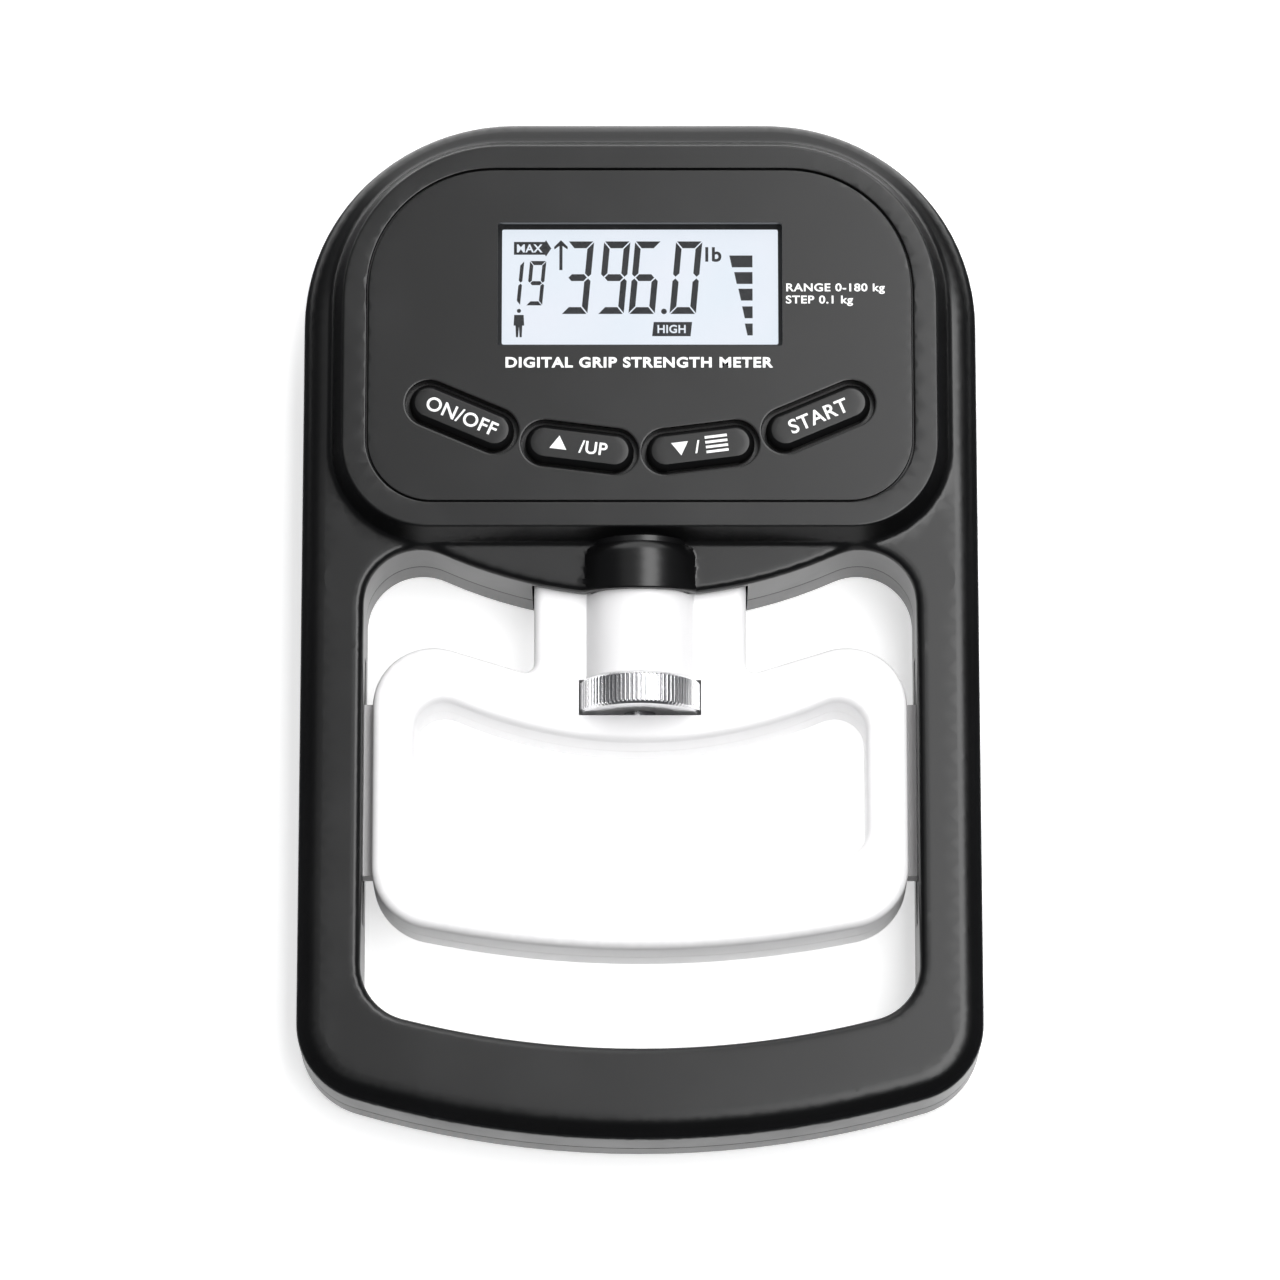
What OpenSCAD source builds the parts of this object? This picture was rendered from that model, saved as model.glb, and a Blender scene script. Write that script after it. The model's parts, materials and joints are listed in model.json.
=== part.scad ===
// Electronic hand dynamometer, lying on its back.
// X runs across the grip, Y from the palm bar to the display head, Z from the back to the face.
// The origin is the middle of the footprint, on the back face. All sizes are in millimetres.

/* [Frame] */
// Width of the frame
frame_w = 128; // [126:0.5:132]
// Length of the frame, palm bar to head
frame_l = 197.2; // [196.5:0.1:198]
// Height of the joint between the two shells
parting_z = 9; // [8.8:0.1:9.1]
// Height of the frame bars' front
frame_h = 22.5; // [22.2:0.1:22.8]
// Height of the raised head
head_h = 27.5; // [27.4:0.1:27.8]
// Wall of the frame shells
wall = 2.4; // [2:0.1:2.6]
// Width of each side bar
bar_w = 12; // [11.8:0.1:12.2]
// Radius of the head's two upper corners
head_corner_r = 40; // [36:1:42]

/* [Inner handle] */
// Width of the inner handle
handle_w = 100.6; // [100:0.1:101]
// Lowest level of the handle
handle_z = 3; // [2.9:0.1:3.2]
// Thickness of the handle
handle_t = 16.5; // [16:0.1:16.6]
// Width of the finger opening
grip_w = 85; // [84:0.5:86]
// Width of the stem that runs into the head
stem_w = 40; // [38:0.5:40.4]
// Wall of the handle shells
handle_wall = 2.2; // [1.8:0.1:2.4]

/* [Span adjuster] */
// Height of the threaded stud's axis
stud_z = 16; // [15.9:0.1:16.1]
// Thread radius of the stud
stud_r = 3; // [2.8:0.1:3]
// Radius of the knurled knob
knob_r = 11.7; // [11.4:0.1:11.8]
// Length of the knurled knob
knob_l = 6.2; // [5.8:0.1:6.3]
// Grooves round the knob
knob_grooves = 88; // [60:1:96]
// How far the handle moves towards the palm bar
span_down = 8; // [6:0.5:8]
// How far the handle moves towards the head
span_up = 9; // [6:0.5:9]
// How far a squeeze pulls the handle
squeeze = 0.8; // [0.3:0.1:1]

/* [Display and keys] */
// Width of the display window
window_w = 54; // [52:0.5:55]
// Height of the display window
window_h = 24.4; // [23:0.1:25]
// Y of the window's middle
window_y = 64.2; // [63.8:0.1:64.6]
// Radius of a key cap
key_r = 3.7; // [3.4:0.1:3.8]
// Radius of the well round a key
well_r = 4.6; // [4.4:0.1:4.7]
// Travel of a key
key_travel = 0.4; // [0.2:0.1:0.4]

/* [Load cell] */
// Length of the load cell beam
beam_l = 80; // [78:0.5:82]
// Thickness of the beam along the pull
beam_t = 10; // [9.6:0.1:10]
// Depth of the beam, back to front
beam_d = 11; // [10.6:0.1:11]
// Y of the beam's lower face
beam_y = 26; // [26:0.1:26.4]

/* [Batteries] */
// Diameter of an AAA cell
cell_d = 10.5; // [10.2:0.1:10.5]
// Length of an AAA cell, without its button
cell_l = 43.3; // [43:0.1:43.3]
// Thickness of the battery door
door_t = 1.5; // [1.3:0.1:1.6]

/* [Hidden] */
$fn = 64;
fine_fn = 96;
eps = 0.01;
gap = 0.3;
arc_steps = 16;

half_w = frame_w / 2;
top_y = frame_l / 2;
low_y = -frame_l / 2;
hole_hw = half_w - bar_w;
handle_mid_z = handle_z + handle_t / 2;
handle_top_z = handle_z + handle_t;

// Face levels inside the head
panel_t = 1;
panel_z = head_h - 0.2 - panel_t;
face_wall_z = panel_z - 1.4;
head_wall = 3;

// Display stack
board_t = 1;
board_z = 19.8;
backlight_t = 1.5;
glass_t = 1.6;
glass_z = board_z + board_t + backlight_t;
glass_w = 58;
glass_h = 28.4;

// Main board, its chips and the row of pins to the key board
board_pts = [[42, 88, 12], [44, 46, 2], [-44, 46, 2], [-42, 88, 12]];
chips = [[[-40, 60], [8, 8, 1.4]], [[33, 54], [6, 4, 1.2]], [[33, 72], [6, 3, 2]]];
pin_place = [20, 47.2];
pin_pitch = 2.54;
pin_count = 6;
pin_r = 0.3;
pin_hole_r = 0.45;
socket_side = 1;

// Key board and its switches
key_board_z = 21.4;
key_board_pts = [[46, 48, 2], [46, 34, 4], [24, 25, 4], [-24, 25, 4], [-46, 34, 4], [-46, 48, 2]];
switch_size = [5, 4.4];
switch_body_h = 0.8;
switch_button_r = 1;
switch_h = 1.2;
flange_t = 0.7;
flange_z = face_wall_z - 0.1 - flange_t;
key_top_z = head_h + 0.4;
// Keys: x, y, turn and distance between the two end centres
keys = [[-33.65, 38.05, -23.3, 13.4], [-11.4, 32.1, -7.2, 13.15],
        [11.4, 32.1, 7.2, 13.15], [33.65, 38.05, 23.3, 13.4]];

// Adjuster places along Y
window_top_y = -10.1;
window_low_y = -18;
window_hw = 11.2;
washer_t = 1;
washer_r = 6.5;
groove_t = 0.35;
knob_top_y = window_top_y - washer_t - 0.2;
knob_low_y = knob_top_y - knob_l;
collar_r = 12.2;
collar_bore_r = 11;
boss_r = 10.6;
collar_end_y = 15.2;
stem_top_y = 15.5;
stem_gap = 0.4;
nut_af = 10;
nut_l = 6;
nut_y = beam_y + beam_t + eps;
stud_top_y = nut_y + nut_l + span_down + 0.5;

// Guides in the side bars
guide_top_y = -14.7;
guide_low_y = -47.7;
guide_z = parting_z + gap;
guide_t = 4.8;
guide_in_x = 46.4;
guide_out_x = 57.5;
guide_flange = 1.5;

// Screws: self-tapping, with pan heads
screw_r = 1.4;
screw_head_r = 2.6;
screw_head_t = 1.8;
slot_w = 0.8;
slot_l = 3;
post_r = 3.1;
shell_posts = [[55, -80], [56.4, 8], [55, 62], [21, 91.8]];
handle_posts = [[30, -54.9], [34, -10.5]];
cell_screws_x = [30, 36];
thread_gap = 0.02;
beam_z = stud_z - beam_d / 2 - 0.5;

// The beam's double eye, which thins it to springs at the strain gauges
eye_x = [12, 20];
eye_r = 3.4;
eye_slot_hw = 1.6;
gauge_t = 0.2;
gauge_l = 6;
gauge_w = 5;
board_screw_r = 0.9;
board_screw_head_r = 1.7;
board_screw_head_t = 1.1;
board_post_r = 2;
board_posts = [[35, 82], [38.5, 50.6]];
key_board_posts = [[22, 43.5]];

// Battery bay, two cells side by side along X
bay_wall = 1.2;
bay_w = 50.4;
bay_low_y = 62;
cell_pitch = cell_d + 0.6;
bay_l = 2 * cell_pitch + 1;
bay_high_y = bay_low_y + bay_l;
cell_z = 2.3 + cell_d / 2;
cell_tip = 1;
cell_tip_d = 3.8;
contact_t = 0.4;
bay_top_z = 2.3 + cell_d + 0.5;
floor_t = 2.2;
door_hw = bay_w / 2 + 1;
door_low_y = bay_low_y - 1;
door_high_y = bay_high_y + 1;
hinge_z = 0.3;
tab_x = 16;
tab_hw = 4;
tab_t = 0.7;
tail_top_z = 16;
plate_z = [3.2, 12];
plate_hw = 4.5;
tail_hw = 1;

// Points of a closed outline; each corner is [x, y, radius] and is rounded by an arc
function unit(v) = v / norm(v);
function ring_pt(pts, i) = let (p = pts[(i + len(pts)) % len(pts)]) [p[0], p[1]];
function corner_arc(c, r, u, v) =
    let (half = acos(u * v) / 2, t = r / tan(half), centre = c + unit(u + v) * r / sin(half),
         from = c + u * t - centre, to = c + v * t - centre,
         a = atan2(from[1], from[0]), turn = atan2(from[0] * to[1] - from[1] * to[0], from * to))
    [for (k = [0 : arc_steps]) centre + r * [cos(a + turn * k / arc_steps), sin(a + turn * k / arc_steps)]];
function rounded(pts) = [
    for (i = [0 : len(pts) - 1])
    let (c = ring_pt(pts, i), u = unit(ring_pt(pts, i - 1) - c), v = unit(ring_pt(pts, i + 1) - c))
    each (pts[i][2] == 0 ? [c] : corner_arc(c, pts[i][2], u, v))];
// Right half of an outline, followed by its mirror image; points on the axis are kept once
function both_sides(half) = concat(half,
    [for (i = [len(half) - 1 : -1 : 0]) if (half[i][0] > eps) [-half[i][0], half[i][1], half[i][2]]]);
// A long bow of radius r between two corners of radius c: its slope at the corners, its apex
// and the height of the corners, with the bow's middle at y = mid and side = 1 (up) or -1 (down)
function lean(hw, r, c, sum) = asin((hw - c) / (r + sum * c));
function bow_apex(mid, r, a, side) = mid - side * r + side * r / cos(a);
function bow_corner(mid, hw, r, a, side) = bow_apex(mid, r, a, side) - side * hw * tan(a);

palm_r = 189;
palm_corner_r = 15;
hole_low_r = 178;
hole_corner_r = 10.5;
hole_top_r = 90;
hole_top_y = 4.6;
hole_low_y = -81.9;
handle_low_r = 200;
handle_low_y = -62.7;
handle_corner_r = 12;
grip_top_r = 86;
grip_top_y = -23.1;
grip_corner_r = 5.5;

palm_lean = lean(half_w, palm_r, palm_corner_r, -1);
hole_low_lean = lean(hole_hw, hole_low_r, hole_corner_r, -1);
hole_top_lean = lean(hole_hw, hole_top_r, hole_corner_r, 1);
handle_lean = lean(handle_w / 2, handle_low_r, handle_corner_r, -1);
grip_lean = lean(grip_w / 2, grip_top_r, grip_corner_r, 1);

outer_pts = rounded(both_sides([
    [half_w, top_y, head_corner_r],
    [half_w, bow_corner(low_y, half_w, palm_r, palm_lean, -1), palm_corner_r],
    [0, bow_apex(low_y, palm_r, palm_lean, -1), palm_r - eps]]));
hole_pts = rounded(both_sides([
    [0, bow_apex(hole_top_y, hole_top_r, hole_top_lean, -1), hole_top_r - eps],
    [hole_hw, bow_corner(hole_top_y, hole_hw, hole_top_r, hole_top_lean, -1), hole_corner_r],
    [hole_hw, bow_corner(hole_low_y, hole_hw, hole_low_r, hole_low_lean, -1), hole_corner_r],
    [0, bow_apex(hole_low_y, hole_low_r, hole_low_lean, -1), hole_low_r - eps]]));
handle_pts = rounded(both_sides([
    [stem_w / 2, stem_top_y, 1],
    [stem_w / 2, -9.9, 1.6],
    [handle_w / 2, -0.44, 11.4],
    [handle_w / 2, bow_corner(handle_low_y, handle_w / 2, handle_low_r, handle_lean, -1), handle_corner_r],
    [0, bow_apex(handle_low_y, handle_low_r, handle_lean, -1), handle_low_r - eps]]));
grip_pts = rounded(both_sides([
    [0, bow_apex(grip_top_y, grip_top_r, grip_lean, -1), grip_top_r - eps],
    [grip_w / 2, bow_corner(grip_top_y, grip_w / 2, grip_top_r, grip_lean, -1), grip_corner_r],
    [grip_w / 2, -44.2, 5.5],
    [29.5, -47.2, 15],
    [21.6, -52.2, 8.5],
    [12.6, -48.6, 12],
    [0, -54, 12]]));
head_pts = rounded([[57.4, 92.8, 33], [57.4, 15.6, 18], [-57.4, 15.6, 18], [-57.4, 92.8, 33]]);
panel_pts = rounded([[51.8, 87.2, 24], [51.8, 21.4, 12.5], [-51.8, 21.4, 12.5], [-51.8, 87.2, 24]]);

// Helpers
module slab(z0, z1) { translate([0, 0, z0]) linear_extrude(z1 - z0) children(); }
module mirrored_x() { children(); mirror([1, 0, 0]) children(); }
module block(x0, x1, y0, y1, z0, z1) { translate([x0, y0, z0]) cube([x1 - x0, y1 - y0, z1 - z0]); }
module rod(r, z0, z1) { translate([0, 0, z0]) cylinder(r = r, h = z1 - z0); }
// A cylinder round the stud's axis, from y0 to y1
module axle(r, y0, y1, sides = fine_fn) {
    translate([0, y0, stud_z]) rotate([-90, 0, 0]) cylinder(r = r, h = y1 - y0, $fn = sides);
}
module capsule(distance, r) {
    square([distance, 2 * r], center = true);
    for (side = [-1, 1]) translate([side * distance / 2, 0]) circle(r);
}
module at_key(k) { translate([k[0], k[1]]) rotate(k[2]) children(); }
module frame_plan() { difference() { polygon(outer_pts); polygon(hole_pts); } }
module handle_plan() { difference() { polygon(handle_pts); polygon(grip_pts); } }
module window_plan(extra) {
    translate([0, window_y]) square([window_w + extra, window_h + extra], center = true);
}
// Places of the screws in each half, right and left
module at_posts(posts) {
    mirrored_x() for (p = posts) translate([p[0], p[1], 0]) children();
}
// A screw whose head sits at z0, with its shank running up to z1
module screw(z0, z1) {
    difference() {
        rod(screw_head_r - gap, z0, z0 + screw_head_t);
        for (turn = [0, 90]) rotate(turn)
            block(-slot_l / 2, slot_l / 2, -slot_w / 2, slot_w / 2, z0 - 1, z0 + slot_w);
    }
    rod(screw_r, z0 + screw_head_t - eps, z1);
}
// A tube of radius r swept through the points of a route
function route_dir(p, i) = unit(p[min(i + 1, len(p) - 1)] - p[max(i - 1, 0)]);
function ring_at(p, i, r, n) = let (d = route_dir(p, i), ref = abs(d[2]) > 0.9 ? [1, 0, 0] : [0, 0, 1],
    u = unit(cross(d, ref)), v = cross(d, u))
    [for (k = [0 : n - 1]) p[i] + r * (u * cos(360 * k / n) + v * sin(360 * k / n))];
module tube(p, r, n = 8) {
    last = (len(p) - 1) * n;
    polyhedron(
        points = [for (i = [0 : len(p) - 1]) each ring_at(p, i, r, n)],
        faces = concat([[for (k = [0 : n - 1]) k]], [[for (k = [n - 1 : -1 : 0]) last + k]],
            [for (i = [0 : len(p) - 2]) for (k = [0 : n - 1]) let (m = (k + 1) % n, a = i * n, b = a + n)
                each [[a + k, b + k, b + m], [a + k, b + m, a + m]]]));
}

// Frame
module front_shell() color("dimgray") difference() {
    union() {
        difference() {
            union() {
                slab(parting_z, frame_h) frame_plan();
                slab(frame_h - eps, head_h) polygon(head_pts);
            }
            slab(parting_z - 1, frame_h - floor_t) offset(delta = -wall) frame_plan();
            slab(parting_z, face_wall_z) offset(delta = -head_wall) polygon(head_pts);
            slab(panel_z, head_h + 1) polygon(panel_pts);
            slab(face_wall_z - 1, panel_z + 1) {
                window_plan(1.2);
                for (k = keys) at_key(k) capsule(k[3], key_r + gap);
            }
        }
        intersection() {
            axle(collar_r, hole_top_y - 1, collar_end_y + 2);
            slab(frame_h - floor_t, head_h + 2) difference() {
                square(3 * stem_w / 2, center = true);
                polygon(hole_pts);
            }
        }
        at_posts(shell_posts) rod(post_r, parting_z, frame_h - 1);
        at_posts(board_posts) rod(board_post_r, board_z + board_t, face_wall_z + eps);
        at_posts(key_board_posts) rod(board_post_r, key_board_z + board_t, face_wall_z + eps);
    }
    axle(collar_bore_r, hole_top_y - 2, collar_end_y);
    stem_slot(parting_z - 1, frame_h - floor_t);
    mirrored_x() block(hole_hw - 1, hole_hw + wall + 1, guide_low_y - span_down - squeeze - gap,
        guide_top_y + span_up + gap, parting_z - 1, guide_z + guide_t + gap);
    at_posts(shell_posts) rod(screw_r + thread_gap, parting_z - 1, frame_h - 3);
    at_posts(board_posts) rod(board_screw_r + thread_gap, board_z, face_wall_z - 0.5);
    at_posts(key_board_posts) rod(board_screw_r + thread_gap, board_z, face_wall_z - 0.5);
}
module stem_slot(z0, z1) {
    block(-stem_w / 2 - stem_gap, stem_w / 2 + stem_gap, hole_top_y - 3, hole_top_y + wall + 3, z0, z1);
}
module back_shell() color("dimgray") difference() {
    union() {
        difference() {
            slab(0, parting_z) frame_plan();
            slab(floor_t, parting_z + 1) offset(delta = -wall) frame_plan();
        }
        at_posts(shell_posts) rod(post_r + 0.6, 0, parting_z);
        mirrored_x() for (x = cell_screws_x) translate([x, beam_y + beam_t / 2, 0])
            rod(post_r + 0.6, 0, beam_z);
        block(-bay_w / 2 - bay_wall, bay_w / 2 + bay_wall, bay_low_y - bay_wall, bay_high_y + bay_wall,
            0.5, bay_top_z + bay_wall);
    }
    block(-bay_w / 2, bay_w / 2, bay_low_y, bay_high_y, -1, bay_top_z);
    block(-door_hw, door_hw, door_low_y, door_high_y, -1, door_t + 0.3);
    for (side = [-1, 1]) block(side * tab_x - tab_hw - gap, side * tab_x + tab_hw + gap, door_low_y - 1.8,
        door_low_y + 1, door_t - 0.1, floor_t + 1);
    stem_slot(handle_z - 0.4, parting_z + 1);
    for (i = [0, 1]) block(bay_w / 2 - 2 * contact_t, bay_w / 2, cell_y(i) - tail_hw - gap,
        cell_y(i) + tail_hw + gap, bay_top_z - 1, bay_top_z + 3);
    at_posts(shell_posts) {
        rod(screw_head_r + 0.2, -1, screw_head_t + 1);
        rod(screw_r + 0.2, -1, parting_z + 1);
    }
    mirrored_x() for (x = cell_screws_x) translate([x, beam_y + beam_t / 2, 0]) {
        rod(screw_head_r + 0.2, -1, screw_head_t + 1);
        rod(screw_r + 0.2, -1, stud_z);
    }
}
module shell_screws() color("silver") at_posts(shell_posts) translate([0, 0, 1]) screw(0, parting_z + 7);

// Display
module face_panel() color("black") slab(panel_z, panel_z + panel_t) difference() {
    offset(delta = -gap) polygon(panel_pts);
    window_plan(0);
    for (k = keys) at_key(k) capsule(k[3], well_r);
}
module window_lens() color("lightblue", 0.4) slab(face_wall_z + 0.2, panel_z) window_plan(0.8);
module lcd_frame() color("black") difference() {
    slab(board_z + board_t, face_wall_z) translate([0, window_y])
        square([glass_w + 4, glass_h + 3], center = true);
    slab(board_z, glass_z + glass_t) translate([0, window_y])
        square([glass_w + 0.4, glass_h + 0.4], center = true);
    slab(glass_z, face_wall_z + 1) window_plan(-0.6);
}
module lcd_glass() color("honeydew") slab(glass_z, glass_z + glass_t) translate([0, window_y])
    square([glass_w, glass_h], center = true);
module backlight() color("white") slab(board_z + board_t, glass_z)
    translate([0, window_y - 1.4]) square([glass_w - 1, glass_h - 3.2], center = true);
module contact_strip() color("pink") slab(board_z + board_t, glass_z)
    translate([0, window_y + glass_h / 2 - 1.2]) square([glass_w - 6, 1.6], center = true);

// Electronics
module board_pins(r) {
    for (i = [0 : pin_count - 1]) translate([pin_place[0] + i * pin_pitch, pin_place[1], 0])
        rod(r, board_z - 0.8, key_board_z + board_t + 0.5);
}
module main_board() color("darkgreen") difference() {
    slab(board_z, board_z + board_t) polygon(rounded(board_pts));
    board_pins(pin_hole_r);
    at_posts(board_posts) rod(board_screw_r + 0.2, board_z - 1, board_z + board_t + 1);
}
module board_chips() color("black") for (c = chips)
    translate([c[0][0], c[0][1], board_z - c[1][2]]) cube(c[1]);
module key_board() color("darkgreen") difference() {
    slab(key_board_z, key_board_z + board_t) polygon(rounded(key_board_pts));
    board_pins(pin_hole_r);
    at_posts(key_board_posts) rod(board_screw_r + 0.2, key_board_z - 1, key_board_z + board_t + 1);
}
module board_screw(z) {
    rod(board_screw_head_r, z - board_screw_head_t, z);
    rod(board_screw_r, z - eps, face_wall_z - 1);
}
module board_screws() color("silver") {
    at_posts(board_posts) board_screw(board_z);
    at_posts(key_board_posts) board_screw(key_board_z);
}
module key_switches() color("silver") for (k = keys) at_key(k) {
    slab(key_board_z + board_t, key_board_z + board_t + switch_body_h) square(switch_size, center = true);
    rod(switch_button_r, key_board_z + board_t + switch_body_h - eps, key_board_z + board_t + switch_h);
}
module board_link() color("gold") {
    board_pins(pin_r);
    block(pin_place[0] - socket_side, pin_place[0] + (pin_count - 1) * pin_pitch + 1.2 * socket_side,
        pin_place[1] - socket_side, pin_place[1] + socket_side, board_z + board_t, key_board_z);
}
module key_cap(k) color("dimgray") at_key(k) {
    slab(flange_z, flange_z + flange_t) capsule(k[3], key_r + 1);
    slab(flange_z, key_top_z) capsule(k[3], key_r);
}
module key_on() { key_cap(keys[0]); }
module key_up() { key_cap(keys[1]); }
module key_down() { key_cap(keys[2]); }
module key_start() { key_cap(keys[3]); }

// Load cell
module load_cell() color("lightgray") difference() {
    block(-beam_l / 2, beam_l / 2, beam_y, beam_y + beam_t, beam_z, beam_z + beam_d);
    axle(stud_r + gap, beam_y - 1, beam_y + beam_t + 1);
    mirrored_x() {
        for (x = eye_x) translate([x, beam_y + beam_t / 2, 0]) rod(eye_r, 0, frame_h);
        block(eye_x[0], eye_x[1], beam_y + beam_t / 2 - eye_slot_hw, beam_y + beam_t / 2 + eye_slot_hw,
            0, frame_h);
        for (x = cell_screws_x) translate([x, beam_y + beam_t / 2, 0]) rod(screw_r + thread_gap, 0, frame_h);
    }
}
module strain_gauges() color("goldenrod") mirrored_x() for (y = [beam_y - gauge_t, beam_y + beam_t])
    translate([eye_x[0] - gauge_l / 2, y, stud_z - 3]) cube([gauge_l, gauge_t, gauge_w]);
module load_cell_screws() color("silver") mirrored_x() for (x = cell_screws_x)
    translate([x, beam_y + beam_t / 2, 1]) screw(0, stud_z + 2);
lead_r = 0.8;
lead_pts = [[12, 37.4, 14.6], [14, 38.8, 13.4], [18, 40.5, 12.6], [23, 43, 12.8], [26, 46, 14.4],
    [27, 49, 16.6], [27.3, 51, 18.4], [27.4, 51.6, 19.4]];
module sensor_lead() color("white") tube(lead_pts, lead_r);
module load_nut() color("gold") difference() {
    axle(nut_af / 2 / cos(30), nut_y, nut_y + nut_l, 6);
    axle(stud_r + 0.05, nut_y - 1, nut_y + nut_l + 1);
}

// Span adjuster
module stud() color("silver") axle(stud_r, knob_low_y + 1, stud_top_y);
module knob() color("silver") difference() {
    translate([0, knob_low_y, stud_z]) rotate([-90, 0, 0]) linear_extrude(knob_l)
        polygon([for (i = [0 : 2 * knob_grooves - 1])
            (knob_r - (i % 2) * groove_t) * [cos(180 * i / knob_grooves), sin(180 * i / knob_grooves)]]);
    axle(stud_r, knob_low_y + 1, knob_top_y + 1);
}
module thrust_washer() color("gray") difference() {
    axle(washer_r, window_top_y - washer_t - 0.1, window_top_y - 0.1);
    axle(stud_r + gap, window_top_y - 3, window_top_y + 1);
}

// Inner handle: hollow shells joined at the middle of the thickness
module handle_core() {
    difference() {
        offset(delta = -handle_wall) handle_plan();
        square([2 * boss_r + 1, 3 * stem_w / 2], center = true);
    }
}
module handle_cuts() {
    axle(stud_r + gap, window_low_y, stem_top_y + 1);
    block(-window_hw, window_hw, window_low_y, window_top_y, -1, head_h);
    axle(knob_r + gap, window_low_y, window_top_y);
    mirrored_x() block(guide_in_x, handle_w, guide_low_y, guide_top_y, guide_z, guide_z + guide_t);
}
module handle_front() color("white") difference() {
    union() {
        difference() {
            slab(handle_mid_z, handle_top_z) handle_plan();
            slab(handle_mid_z - 1, handle_top_z - handle_wall) handle_core();
        }
        intersection() {
            axle(boss_r, window_top_y, hole_top_y + 1);
            block(-stem_w / 2, stem_w / 2, window_low_y, stem_w / 2, handle_mid_z, head_h);
        }
        at_posts(handle_posts) rod(post_r, handle_mid_z, handle_top_z - 1);
    }
    handle_cuts();
    at_posts(handle_posts) rod(screw_r + thread_gap, handle_mid_z - 1, handle_top_z - 1.5);
}
module handle_back() color("white") difference() {
    union() {
        difference() {
            slab(handle_z, handle_mid_z) handle_plan();
            slab(handle_z + handle_wall, handle_mid_z + 1) handle_core();
        }
        at_posts(handle_posts) rod(post_r + 0.4, handle_z, handle_mid_z);
    }
    handle_cuts();
    at_posts(handle_posts) {
        rod(screw_head_r + 0.2, handle_z - 1, handle_z + screw_head_t + 0.6);
        rod(screw_r + 0.2, handle_z, handle_mid_z + 1);
    }
}
module handle_screws() color("silver") at_posts(handle_posts) screw(handle_z + 0.6, handle_mid_z + 5.5);
module guide() {
    block(guide_in_x, guide_out_x, guide_low_y, guide_top_y, guide_z, guide_z + guide_t);
    block(guide_in_x, guide_in_x + guide_flange, guide_low_y, guide_top_y,
        guide_z - 1, guide_z + guide_t + 1);
}
module guide_right() color("darkgray") guide();
module guide_left() color("darkgray") mirror([1, 0, 0]) guide();

// Batteries
module battery_door() color("dimgray") {
    block(-door_hw + gap, door_hw - gap, door_low_y + gap, door_high_y - gap, 0.15, door_t);
    for (side = [-1, 1]) {
        block(side * tab_x - tab_hw, side * tab_x + tab_hw, door_low_y - 1.2, door_low_y + 0.8,
            door_t - eps, door_t + tab_t);
        block(side * tab_x - tab_hw, side * tab_x + tab_hw, door_low_y + gap, door_low_y + 0.8,
            door_t - 0.2, door_t);
    }
}
function cell_y(i) = bay_low_y + 0.5 + cell_pitch * (i + 0.5);
// The place of cell i, whose positive tip points right for i = 0 and left for i = 1
module cell_at(i) {
    translate([0, cell_y(i), cell_z]) rotate([0, 90, 0]) mirror([0, 0, i])
        translate([0, 0, bay_w / 2 - contact_t - cell_tip]) children();
}
module battery_cells() color("orange") for (i = [0, 1]) cell_at(i) {
    translate([0, 0, -cell_l]) cylinder(d = cell_d, h = cell_l);
    translate([0, 0, -eps]) cylinder(d = cell_tip_d, h = cell_tip);
}
spring_wire_r = 0.3;
spring_r = 3.6;
spring_taper = 1.4;
spring_turns = 3;
spring_steps = 14;
spring_l = bay_w - 2 * contact_t - cell_tip - cell_l;
// A conical spring, narrowing from its contact plate to the cell
function spring_pts() = [for (i = [0 : spring_turns * spring_steps])
    let (t = i / (spring_turns * spring_steps), a = 360 * i / spring_steps)
    [(spring_r - spring_taper * t) * cos(a), (spring_r - spring_taper * t) * sin(a),
        t * (spring_l - 3 * spring_wire_r)]];
module battery_springs() color("silver") for (i = [0, 1]) cell_at(i)
    translate([0, 0, -cell_l - spring_l + 1.5 * spring_wire_r]) tube(spring_pts(), spring_wire_r, 6);
// One plate joins the two cells on the left; on the right each cell has its own, with a solder tail
module battery_contacts() color("silver") {
    block(-bay_w / 2, -bay_w / 2 + contact_t, bay_low_y + 1, bay_high_y - 1, plate_z[0], plate_z[1]);
    for (i = [0, 1]) {
        block(bay_w / 2 - contact_t, bay_w / 2, cell_y(i) - plate_hw, cell_y(i) + plate_hw,
            plate_z[0], plate_z[1]);
        block(bay_w / 2 - contact_t, bay_w / 2, cell_y(i) - tail_hw, cell_y(i) + tail_hw,
            plate_z[1] - eps, tail_top_z);
    }
}
battery_lead_r = 0.6;
function lead_run(y) = [[25, y, 16.9], [25.6, y, 17.5], [26.6, y, 18.1], [27.5, y, 18.6],
    [28, y, 19.1], [28.1, y, 19.7]];
module battery_leads() color("red") for (i = [0, 1]) tube(lead_run(cell_y(i)), battery_lead_r);

front_shell();
back_shell();
face_panel();
window_lens();
lcd_frame();
lcd_glass();
backlight();
contact_strip();
main_board();
board_chips();
key_board();
key_switches();
board_link();
key_on();
key_up();
key_down();
key_start();
load_cell();
strain_gauges();
load_cell_screws();
sensor_lead();
board_screws();
load_nut();
stud();
knob();
thrust_washer();
handle_front();
handle_back();
handle_screws();
guide_left();
guide_right();
battery_door();
battery_cells();
battery_springs();
battery_contacts();
battery_leads();
shell_screws();
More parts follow.
